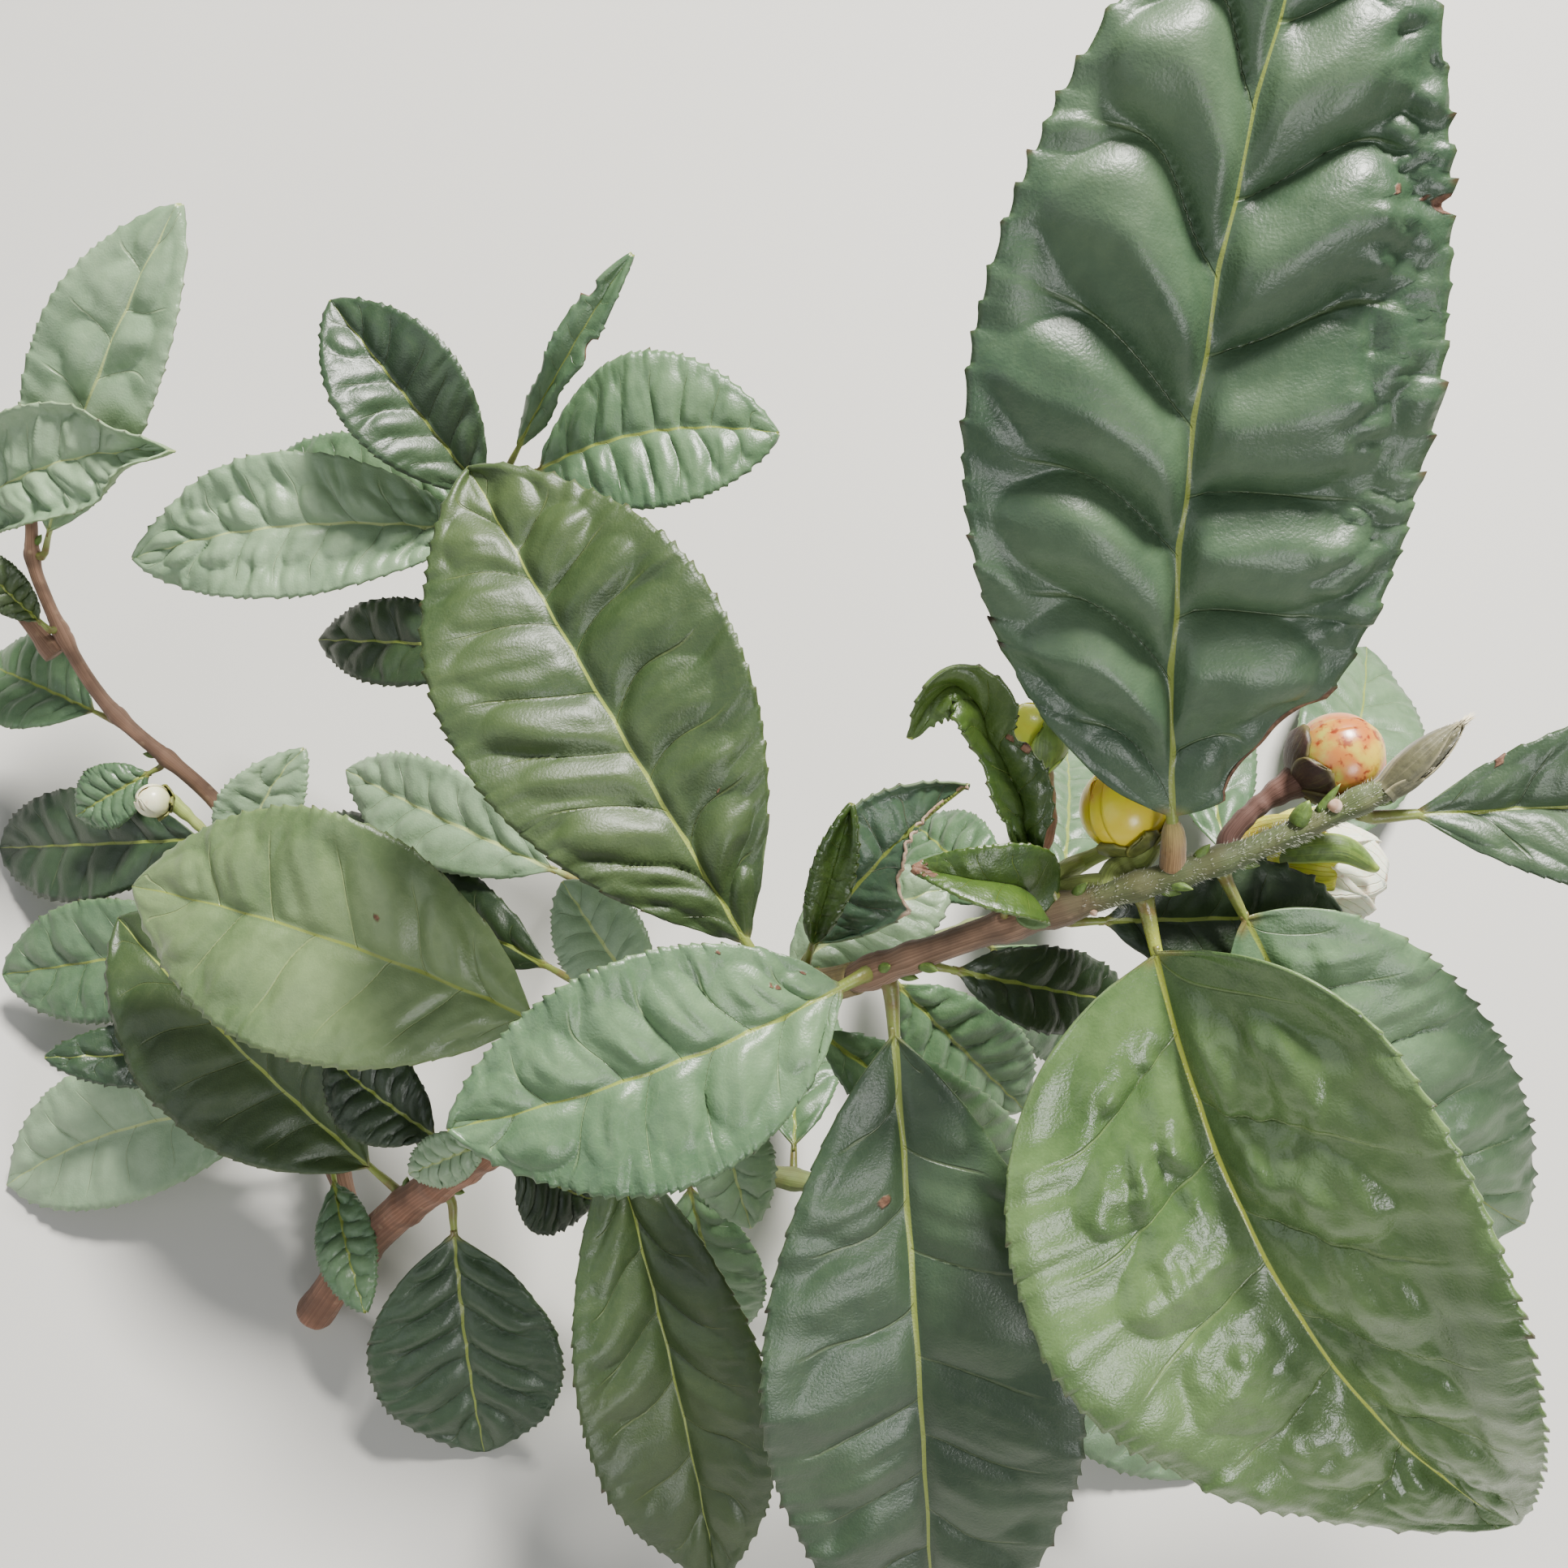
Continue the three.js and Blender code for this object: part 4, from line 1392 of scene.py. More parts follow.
# Name, stem, place on it, tip, width, form, and look where it isn't the usual one
LEAF_ROWS = (
    ("leaf_tall_top", SHOOT, 35, (43, 77, 33), 41, Form(8, side=-0.06, arch=0.04),
     Look(Tint.TALL, pairs=7, lean=(46, 74), loop=0.86, quilt=3.0, teeth=31, tooth=0.62, wave=0.7,
          wrinkle=0.22, crumple=Crumple(1, 0.6, 0.22, 0.8, 1.0), recurve=0.8, wedge=-0.1, slim=0.95,
          cells=(56, 230), rib=0.36, stalk=0.85, spots=(Spot(1.0, 0.132, 5.2, 2.5),
          Spot(1.0, 0.175, 0.9, 0.9), Spot(0.72, 0.665, 0.45), Spot(0.9, 0.66, 0.3),
          Spot(1.0, 0.655, 0.7, 0.5)))),
    ("leaf_broad_right", SHOOT, 31, (79, -80, -20), 47, Form(26, roll=24, side=0.07, arch=0.1, base=0.45),
     Look(Tint.FRESH, pairs=6, lean=(58, 68), loop=0.66, quilt=1.6, teeth=33, tooth=0.6, wave=0.7,
          wrinkle=0.2, pleats=(0.6, 0.25), bumps=0.52, recurve=1.2, wedge=-0.05, slim=1.04, cells=(72, 250),
          rib=0.5, stalk=0.95)),
    ("leaf_under_broad", SHOOT, 39, (81, -48, -22), 24, Form(10, side=0.08),
     Look(Tint.SHEEN, pairs=6, teeth=24, tooth=0.65, quilt=0.9, bumps=0.22, wave=0.6, wedge=-0.1, slim=1.2,
          cells=NEAR, stalk=0.7)),
    ("leaf_dark_under_stem", SHOOT, 23, (56, -13, -8), 12, Form(10),
     Look(Tint.SHADED, pairs=5, teeth=11, tooth=0.8, quilt=0.3, cells=SMALL_NEAR)),
    ("leaf_hanging_middle", SHOOT, 3, (17.6, -101, -35), 35, Form(14),
     Look(Tint.DEEP, pairs=7, lean=(60, 60), teeth=34, tooth=0.55, quilt=0.8, wave=0.9, recurve=0.8,
          cells=NEAR, rib=0.5, stalk=0.95, spots=(Spot(0.22, 0.26, 0.9),))),
    ("leaf_hanging_left", MAIN, 75, (-9, -106, -60), 26, Form(25, side=-0.02),
     Look(Tint.OLIVE, pairs=7, teeth=30, tooth=0.5, quilt=1.0, wave=0.9, recurve=0.8, cells=NEAR,
          stalk=0.85)),
    ("leaf_flat_middle", SHOOT, 2, (-33, -34, -5), 23.5, Form(12, side=-0.03, stalk=2.5),
     Look(Tint.SHEEN, pairs=6, lean=(62, 66), loop=0.78, teeth=32, tooth=0.45, quilt=0.95, wave=0.5,
          wrinkle=0.25, wedge=0.05, cells=NEAR, stalk=0.95, spots=(Spot(0.42, 0.2, 0.34),
          Spot(0.47, 0.215, 0.24), Spot(0.7, 0.13, 0.36), Spot(0.92, 0.3, 0.25)))),
    ("leaf_tall_left", MAIN, 112, (-36, 36, -30), 34, Form(14),
     Look(Tint.OLIVE, pairs=8, lean=(50, 56), loop=0.8, teeth=32, tooth=0.5, quilt=1.4, wave=0.9,
          wrinkle=0.3, recurve=0.7, wedge=0.2, cells=NEAR, stalk=0.9, spots=(Spot(0.5, 0.3, 0.3),))),
    ("leaf_wide_left", CENTRE, 5, (-89, -14, -65), 33, Form(12, side=0.04),
     Look(Tint.DUSTY_SHEEN, pairs=6, lean=(54, 60), teeth=30, tooth=0.5, quilt=1.15, wave=0.8, wrinkle=0.25,
          recurve=0.9, cells=(36, 150), stalk=0.85, spots=(Spot(0.35, 0.42, 0.5),))),
    ("leaf_under_wide_left", MAIN, 30, (-99, -20, -84), 28, Form(12),
     Look(Tint.OLIVE, teeth=26, quilt=1.0, wave=1.3, recurve=1.0, cells=WIDE_FAR, stalk=0.8)),
    ("leaf_curled", SHOOT, 23, (12, 5, 6), 12, Form(40),
     Look(Tint.LIT_THROUGH, pairs=6, teeth=17, tooth=0.45, quilt=0.35, wave=0.5, recurve=0.1, wedge=0.0,
          cells=(26, 150), rib=0.22, stalk=0.6, slim=0.72, pinch=(0.55, 0.4), spots=(Spot(0.95, 0.5, 0.4),
          Spot(0.8, 0.56, 0.4)), spine=((23.1, -5.0, 0.0), (22.6, -2.2, 1.0), (21.0, 1.2, 2.5),
          (18.9, 4.6, 4.0), (17.7, 7.4, 5.4), (15.4, 8.9, 6.3), (13.3, 7.4, 6.0), (11.7, 4.2, 5.0)))),
    ("leaf_boat", SHOOT, 18, (12.4, -8, 3), 8, Form(30),
     Look(Tint.LIT_THROUGH, pairs=5, teeth=18, tooth=0.2, quilt=0.1, wave=0.3, wrinkle=0.1, recurve=0.3,
          wedge=-0.36, fold=10, roll=25, slim=1.15, cells=SMALL_NEAR, rib=0.15, stalk=0.5,
          spots=(Spot(0.0, 0.98, 0.9), Spot(-0.5, 0.9, 0.5)), spine=((23.3, -10.6, -1.0), (21.6, -9.5, 1.8),
          (17.0, -8.8, 3.2), (12.1, -7.8, 3.0)))),
    ("leaf_right_end", SHOOT, 53, (113, 0, -5), 22, Form(25),
     Look(Tint.DEEP, pairs=7, teeth=30, tooth=0.45, quilt=0.75, wave=0.4, recurve=0.7, cells=NEAR, stalk=0.8,
          spots=(Spot(-0.95, 0.2, 0.5), Spot(0.97, 0.32, 0.5)))),
    ("leaf_brown_edged", MAIN, 115, (19.6, 0, -18), 13, Form(10, side=-0.06),
     Look(Tint.DRY_EDGED, pairs=6, teeth=15, tooth=0.3, quilt=0.3, wave=1.2, recurve=-0.7, cells=(34, 150),
          spots=(Spot(1.0, 0.74, 6.8, 5.2),))),
    ("leaf_pale_low", MAIN, 108, (19, -12, -32), 12, Form(8, side=-0.08),
     Look(Tint.PALE, teeth=16, quilt=0.4, cells=SMALL_NEAR)),
    ("leaf_small_twisted", MAIN, 118, (7, -2, -13), 5, Form(30),
     Look(Tint.LIT_THROUGH, teeth=12, quilt=0.1, wave=1.0, cells=SMALL_NEAR, rib=0.2)),
    ("leaf_shaded_short", SHOOT, 7, (38, -24, -22), 9, Form(10),
     Look(Tint.SHADED, teeth=14, quilt=0.3, cells=SMALL_NEAR)),
    ("leaf_pale_narrow", MAIN, 111, (32, -50, -45), 11, Form(10),
     Look(Tint.SHEEN, teeth=22, quilt=0.4, cells=SMALL_NEAR)),
    ("leaf_small_hanging", MAIN, 96, (-4, -53, -38), 10, Form(10), Look(Tint.PALE, teeth=18, quilt=0.4)),
    ("leaf_pale_between", MAIN, 92, (-27, -12, -42), 11, Form(10), Look(Tint.PALE, quilt=0.4)),
    ("leaf_centre_1", CENTRE, 80, (-62, 66, -65), 20, Form(30), Look(Tint.DEEP, quilt=0.9)),
    ("leaf_centre_2", CENTRE, 85, (-1, 48, -65), 22, Form(12, side=-0.08),
     Look(Tint.SHEEN, pairs=8, lean=(66, 66), quilt=0.95, cells=WIDE_FAR)),
    ("leaf_centre_3", CENTRE, 87, (-20, 69, -55), 5, Form(25),
     Look(Tint.SHEEN, teeth=14, quilt=0.2, wave=1.0, slim=1.2, pinch=(0.45, 0.35),
          spots=(Spot(1.0, 0.66, 1.5, 1.2), Spot(-1.0, 0.82, 1.4, 0.9)))),
    ("leaf_centre_4", CENTRE, 78, (-95, 33, -80), 21, Form(14, side=0.05),
     Look(Tint.PALE, pairs=8, lean=(56, 56), loop=0.55, quilt=1.5, wave=0.9, wrinkle=0.35, bumps=0.15,
          cells=(36, 140))),
    ("leaf_centre_5", CENTRE, 80, (-77, 49, -88), 14, Form(12), Look(Tint.SHEEN)),
    ("leaf_centre_6", CENTRE, 60, (-71, 22, -90), 13, Form(12), Look(Tint.SHADED)),
    ("leaf_mid_left_1", FAR_LEFT, 50, (-72, 5, -85), 13, Form(12, side=-0.15), Look(Tint.PALE)),
    ("leaf_mid_left_2", CENTRE, 25, (-64, 2, -80), 14, Form(12), Look(Tint.PALE)),
    ("leaf_far_left_1", FAR_LEFT, 118, (-85, 81, -70), 21, Form(16),
     Look(Tint.PALE, pairs=5, loop=0.6, quilt=1.3, cells=WIDE_FAR)),
    ("leaf_far_left_3", FAR_LEFT, 106, (-121, 35, -82), 7, Form(14), Look(Tint.OLIVE)),
    ("leaf_far_left_4", FAR_LEFT, 90, (-133, 20, -112), 17, Form(14, roll=15), Look(Tint.SHEEN)),
    ("leaf_far_left_5", FAR_LEFT, 80, (-112, -5, -99), 10, Form(14), Look(Tint.SHEEN)),
    ("leaf_far_left_6", FAR_LEFT, 64, (-135, -11, -121), 19, Form(14)),
    ("leaf_far_left_7", FAR_LEFT, 48, (-127, -31, -106), 20, Form(14), Look(Tint.SHEEN)),
    ("leaf_far_left_8", FAR_LEFT, 20, (-122, -63, -97), 22, Form(14, side=0.08), Look(Tint.PALE)),
    ("leaf_low_1", MAIN, 38, (-44, -98, -81), 28, Form(12),
     Look(Tint.DEEP, quilt=1.3, cells=WIDE_FAR, stalk=0.8)),
    ("leaf_low_2", FAR_LEFT, 9, (-59, -74, -71), 9, Form(12), Look(Tint.SHEEN)),
    ("leaf_low_3", FAR_LEFT, 14, (-83, -50, -82), 9, Form(12), Look(Tint.PALE)),
    ("leaf_low_4", MAIN, 50, (-26, -59, -72), 14, Form(12), Look(Tint.SHADED)),
    ("leaf_low_5", MAIN, 45, (-64, -38, -70), 13, Form(12), Look(Tint.SHADED)),
    ("leaf_centre_7", CENTRE, 40, (-28, 2, -100), 15, Form(12)),
    ("leaf_centre_8", CENTRE, 70, (-35, 28, -106), 15, Form(12)),
    ("leaf_mid_left_3", CENTRE, 12, (-72, -6, -88), 15, Form(12), Look(Tint.SHADED)),
    ("leaf_far_left_9", FAR_LEFT, 30, (-108, -40, -80), 10, Form(14)),
    ("leaf_low_6", MAIN, 58, (-50, -52, -60), 7, Form(12), Look(Tint.PALE)),
)

# The same for the leaves that are fused to a leafy twig
TWIG_LEAF_ROWS = (
    ("behind_bud", UPPER, 126, (107, 25, -139), 23, Form(8)),
    ("behind_yellow_bud", UPPER, 70, (47, 6, -112), 16, Form(8)),
    ("upper_3", UPPER, 30, (34, -46, -72), 15, Form(12)),
    ("upper_4", UPPER, 50, (52, -42, -98), 16, Form(12)),
    ("upper_5", UPPER, 92, (88, -36, -108), 17, Form(12)),
    ("upper_6", UPPER, 105, (70, 22, -130), 17, Form(12)),
    ("upper_7", UPPER, 60, (20, -6, -94), 14, Form(12)),
    ("pale_foot", LOWER, 70, (61, -101, -80), 26, Form(8)),
    ("low_hanging", LOWER, 50, (20, -95, -78), 19, Form(12)),
    ("low_right", LOWER, 76, (78, -52, -86), 20, Form(12, roll=-15)),
    ("lower_4", LOWER, 20, (-8, -82, -84), 15, Form(12)),
    ("lower_5", LOWER, 36, (2, -30, -92), 14, Form(12)),
    ("lower_6", LOWER, 60, (50, -78, -60), 15, Form(12)),
    ("far_left_2", LEFT, 22, (-86, 47, -72), 17, Form(14, side=-0.08),
     Look(Tint.CREAM_EDGED, teeth=18, tooth=0.3, quilt=1.3, wave=1.9, wrinkle=0.35, recurve=-1.6,
          pinch=(0.9, 0.35), cells=(36, 130))),
    ("left_2", LEFT, 12, (-150, 24, -104), 15, Form(12)),
    ("left_3", LEFT, 28, (-154, 58, -80), 15, Form(12)),
    ("left_4", LEFT, 27, (-128, 72, -84), 15, Form(12)),
)


def grow_stems() -> dict[str, Stem]:
    """Works out every stem's axis, each from the one that carries it.

    Returns:
        The stems by name.
    """
    stems: dict[str, Stem] = {}
    for name, (foot, tip), bark, slim, carrier, at, points in STEM_ROWS:
        axis = [Vector(p) for p in points]
        parent = stems.get(carrier)
        if parent:
            axis.insert(0, parent.beyond(axis[0], foot) if at is None else parent.seat(at, axis[0], foot))
        stems[name] = Stem(name, Path(axis), foot, tip, bark, slim, parent, at)
    return stems


@dataclass
class Foliage:
    """All the leaves: single ones, and those of the three leafy twigs, which have a tint each.

    Args:
        stems: the stems by name.
    """

    stems: dict[str, Stem]
    tints: tuple[Tint, Tint, Tint] = (Tint.SHEEN, Tint.SHEEN, Tint.PALE)

    def leaf(self, row: tuple, usual: Look = Look(), fused: bool = False) -> Leaf:
        """The leaf of a table row, which may leave out its look."""
        name, stem, along, tip, width, form, look = (*row, usual)[:7]
        return Leaf(name, self.stems[stem], along, Vector(tip), width, form, look, fused)

    def build(self) -> None:
        """Makes every leaf, and joins those of each leafy twig."""
        for row in LEAF_ROWS:
            self.leaf(row).build()
        for twig, tint in zip(TWIGS, self.tints):
            rows = [row for row in TWIG_LEAF_ROWS if row[1] == twig]
            mesh = Mesh(f"{twig}_leaves")
            for i, row in enumerate(rows):
                self.leaf(row, Look(tint, quilt=0.8), True).add_to(mesh, bake_box(i, 3, 3))
            mesh.piece([tint.value], "leaf", [twig])


# Stems


@dataclass
class Wood:
    """The stems with their bark, nodes, leaf scars and cut end.

    Args:
        stems: the stems by name.
    """

    stems: dict[str, Stem]
    sides: int = 28
    step: float = 0.45
    swelling: float = 0.32
    relief: float = 0.05

    def nodes_of(self, stem: Stem) -> list[float]:
        """Where leaves and shoots grow on a stem, in millimetres along it."""
        leaves = [row[2] for row in (*LEAF_ROWS, *TWIG_LEAF_ROWS) if row[1] == stem.name]
        shoots = [other.at for other in self.stems.values() if other.carrier is stem and other.at]
        return sorted(min(at, stem.path.length - 1) for at in leaves + shoots)

    def build(self) -> None:
        """Makes every stem a piece that stands for its node."""
        for stem in self.stems.values():
            self.limb(stem)

    def limb(self, stem: Stem) -> None:
        """Makes one stem.

        Args:
            stem: the stem.
        """
        length = stem.path.length
        joints = self.nodes_of(stem)
        carries_on = any(other.carrier is stem and other.at is None for other in self.stems.values())
        start = -0.6 if stem.carrier else 0.0
        collar = 0.0
        if stem.at is not None:
            start = -TOUCH_GAP - 0.85 * stem.carrier.radius(stem.at)
            collar = 0.5
        end = length + (0.8 if carries_on else 0.35)
        count = max(8, round((end - start) / self.step))
        stations = [between(start, end, i / count) for i in range(count + 1)]
        rounded = [] if carries_on else [end + 0.35, end + 0.55]
        stations += rounded

        def radius(along: float, turn: float) -> float:
            """Radius with swellings, ridges and fine relief."""
            if rounded and along > end:
                return stem.tip_radius * (0.75 if along < end + 0.5 else 0.0)
            base = stem.radius(min(max(along, 0.0), length)) * stem.slim
            swell = sum(math.exp(-(((along - at) / 1.5) ** 2)) for at in joints)
            ring = sum(math.exp(-(((along - at - 1.1) / 0.22) ** 2)) for at in joints)
            angle = math.tau * turn
            right, up = math.cos(angle), math.sin(angle)
            ridges = noise.noise(Vector((right * 1.6 + length, up * 1.6, along * 0.16)))
            fine = noise.noise(Vector((right * 5, up * 5, along * 1.7)))
            rough = ridges * 1.6 + fine * 0.5
            foot = collar * math.exp(-((max(along, 0.0) / 1.8) ** 2))
            swollen = base + self.swelling * min(swell, 1.2) + foot
            return swollen - 0.1 * min(ring, 1.0) + self.relief * base * rough

        mesh = Mesh(f"{stem.name}_bark")
        mesh.tube(stem.path, stations, radius, self.sides)
        finishes: list[Finish] = [stem.bark]
        if not stem.carrier:
            foot = TO_PART @ stem.path.point(0)
            finishes.append(CutWoodFinish("cut_wood", foot.freeze(), stem.foot_radius * MM))
        slot = "bark" if stem.bark in (BROWN_BARK, FAR_BARK) else "green_stem"
        mesh.piece(finishes, slot, [stem.name])


def build_limb(
    name: str, path: Path, shape: Callable[[float, float], float], cells: tuple[int, int], finish: Finish,
    slot: str = "green_stem", nodes: Sequence[str] = (), end: float | None = None,
) -> None:
    """Makes a limb that closes to a point a piece of its own.

    Args:
        name: its name.
        path: its axis.
        shape: gives its radius at a share of its length and a turn from 0 to 1.
        cells: faces around it and along it.
        finish: its finish.
        slot: passed on to Mesh.piece, which does not use it.
        nodes: the CAD nodes that it stands for.
        end: where it ends, in millimetres, if not with its path.
    """
    length = end or path.length
    sides, divisions = cells

    def radius(along: float, turn: float) -> float:
        """The radius, which is nothing at the end."""
        share = along / length
        return shape(share, turn) if share < NEAR_END else 0.0

    mesh = Mesh(name)
    mesh.tube(path, even_steps(length, divisions), radius, sides)
    mesh.piece([finish], slot, nodes)


# Buds and flower


@dataclass(frozen=True)
class BudShape:
    """A round flower bud on a bent stalk.

    Args:
        name: the CAD node.
        stem: the stem that carries it.
        along: millimetres along the stem.
        stalk_radius: radius of its stalk.
        bend: a point on the stalk.
        centre: centre of the bud.
        radius: radius of the bud.
        petals: finish of the petals.
        sepals: finish of the calyx.
        stalk: finish of the stalk.
        slot: passed on to Mesh.piece, which does not use it.
        reach: degrees from the foot to the sepals' tips.
        big_sepal: degrees around the axis to the middle of the one large sepal, if it has one.
    """

    name: str
    stem: str
    along: float
    stalk_radius: float
    bend: Point
    centre: Point
    radius: float
    petals: WaxyFinish
    sepals: SepalFinish
    stalk: BarkFinish
    slot: str
    reach: float = 70.0
    big_sepal: float | None = None


BUDS = (
    BudShape("bud_red", SHOOT, 41, 1.0, (47, -1.5, -3), (53.6, 2.6, -2), 4.4,
             RED_WAX, MAROON_SEPAL, DARK_STALK, "red_bud", 74),
    BudShape("bud_yellow", SHOOT, 29, 1.2, (35, -6.5, -4), (33.2, -2.4, -4), 4.3,
             YELLOW_WAX, OLIVE_SEPAL, PALE_TWIG, "yellow_bud", 62),
    BudShape("bud_green", "flower_twig", 4, 0.8, (26.2, -3.4, -5.5), (24.2, 4.6, -5), 3.4,
             GREEN_WAX, GREEN_SEPAL, RED_TWIG, "yellow_bud", 58, 35),
    BudShape("bud_far_left", FAR_LEFT, 62, 0.8, (-94, -3, -92), (-96, -2.6, -89), 2.6,
             WHITE_WAX, OLIVE_SEPAL, PALE_TWIG, "petal", 70),
)


@dataclass
class FlowerBud:
    """One flower bud: overlapping waxy petals in a calyx of rounded sepals.

    Args:
        shape: its sizes.
        stems: the stems by name.
    """

    shape: BudShape
    stems: dict[str, Stem]
    petal_count: int = 4
    sepal_count: int = 5

    def __post_init__(self) -> None:
        """Works out the bud's own frame."""
        stem = self.stems[self.shape.stem]
        bend = Vector(self.shape.bend)
        self.centre = Vector(self.shape.centre)
        foot = stem.seat(self.shape.along, bend, self.shape.stalk_radius)
        inside = stem.path.point(max(self.shape.along - 1.6, 0.0))
        self.path = Path([foot, bend, self.centre])
        self.stalk = Path([inside.lerp(foot, 0.15), foot, bend, self.centre])
        self.axis = self.path.tangent(self.path.length)
        self.side = square_to(self.axis, OUT_OF_SPRAY)
        self.up = self.axis.cross(self.side)

    def on_ball(self, polar: float, turn: float, radius: float) -> Vector:
        """The point at angles from the bud's foot and around its axis, at a distance from its centre."""
        out = spoke(self.side, self.up, turn)
        return self.centre + (self.axis * -math.cos(polar) + out * math.sin(polar)) * radius

    def cup(
        self, mesh: Mesh, turn: float, spread: float, reach: float, radii: tuple[float, float],
        cells: tuple[int, int], thickness: float, box: Box, flare: float = 0.0,
    ) -> None:
        """Adds one petal or sepal that hugs the ball.

        Args:
            mesh: the mesh to add it to.
            turn: where its middle is, in radians around the axis.
            spread: half its width, in radians.
            reach: how far it reaches from the foot, in radians.
            radii: its distance from the centre at its two sides, so that it tucks under a neighbour.
            cells: cells across and along.
            thickness: in millimetres.
            box: box of the bake picture.
            flare: how far its tip stands off, in millimetres.
        """
        first = 0.12

        def place(x: float, y: float) -> Corner:
            """One corner of the petal."""
            outline = (1 - max(y, 0.0) ** 3.2 * 0.98) ** 0.5
            polar = between(first, reach, y * (1 - 0.1 * x * x))
            narrow = outline * min(1.0, 0.75 + y)
            lift = between(*radii, (x + 1) / 2) + flare * y**4
            ripple = 0.06 * noise.noise(Vector((x * 1.5, y * 2, turn * 3 + self.shape.radius)))
            at = self.on_ball(polar, turn + x * spread * narrow, lift + ripple)
            return at, {"across": x, "along": y}

        mesh.blade(cells, place, thickness, box)

    def build(self) -> None:
        """Makes the petals, the calyx and the stalk, which stand for the bud's node."""
        shape = self.shape
        petals = Mesh(f"{shape.name}_petals")
        for i in range(self.petal_count):
            outer = shape.radius - 0.02 - 0.05 * (i // 2)
            turn = math.tau * i / self.petal_count * 1.25 + 0.4
            radii = (outer, outer - 0.2)
            self.cup(petals, turn, 1.2, math.pi * 1.04, radii, (24, 30), 0.12, bake_box(i, 2, 2))
        inner = shape.radius * 0.9
        core = Path([self.centre - self.axis * inner, self.centre + self.axis * inner])
        turns = [math.pi * i / 10 for i in range(11)]
        stations = [core.length * (1 - math.cos(turn)) / 2 for turn in turns]
        petals.tube(core, stations, [inner * math.sin(turn) for turn in turns], 20, (0.49, 0.51, 0.1, 0.9))
        petals.piece([shape.petals], shape.slot, [shape.name])

        sepals = Mesh(f"{shape.name}_sepals")
        for i in range(self.sepal_count):
            outer = shape.radius + 0.12
            reach = math.radians(shape.reach) * (0.9 + 0.16 * ((i * 2) % 5) / 4)
            turn = math.tau * i / self.sepal_count
            radii = (outer + 0.28, outer)
            self.cup(sepals, turn, 0.85, reach, radii, (12, 14), 0.3, bake_box(i, 3, 2), 0.12)
        if shape.big_sepal is not None:
            outer = shape.radius + 0.3
            turn = math.radians(shape.big_sepal)
            self.cup(sepals, turn, 1.0, 2.05, (outer, outer), (18, 22), 0.3, (0.7, 1.0, 0.5, 1.0), 0.1)
        sepals.piece([shape.sepals], shape.slot, [shape.name])
        self.build_stalk()

    def build_stalk(self) -> None:
        """Makes the stalk, which widens into the foot of the calyx."""
        shape = self.shape

        def radius(share: float, turn: float) -> float:
            """Radius of the stalk, with rings where bracts fell."""
            rings = 0.08 * math.sin(share * 37) * smooth(0.2, 0.5, share)
            return shape.stalk_radius * (1 + 0.75 * smooth(0.55, 1.0, share) + rings)

        name, end = f"{shape.name}_stalk", self.stalk.length - shape.radius * 0.8
        build_limb(name, self.stalk, radius, (16, 30), shape.stalk, shape.slot, [shape.name], end)


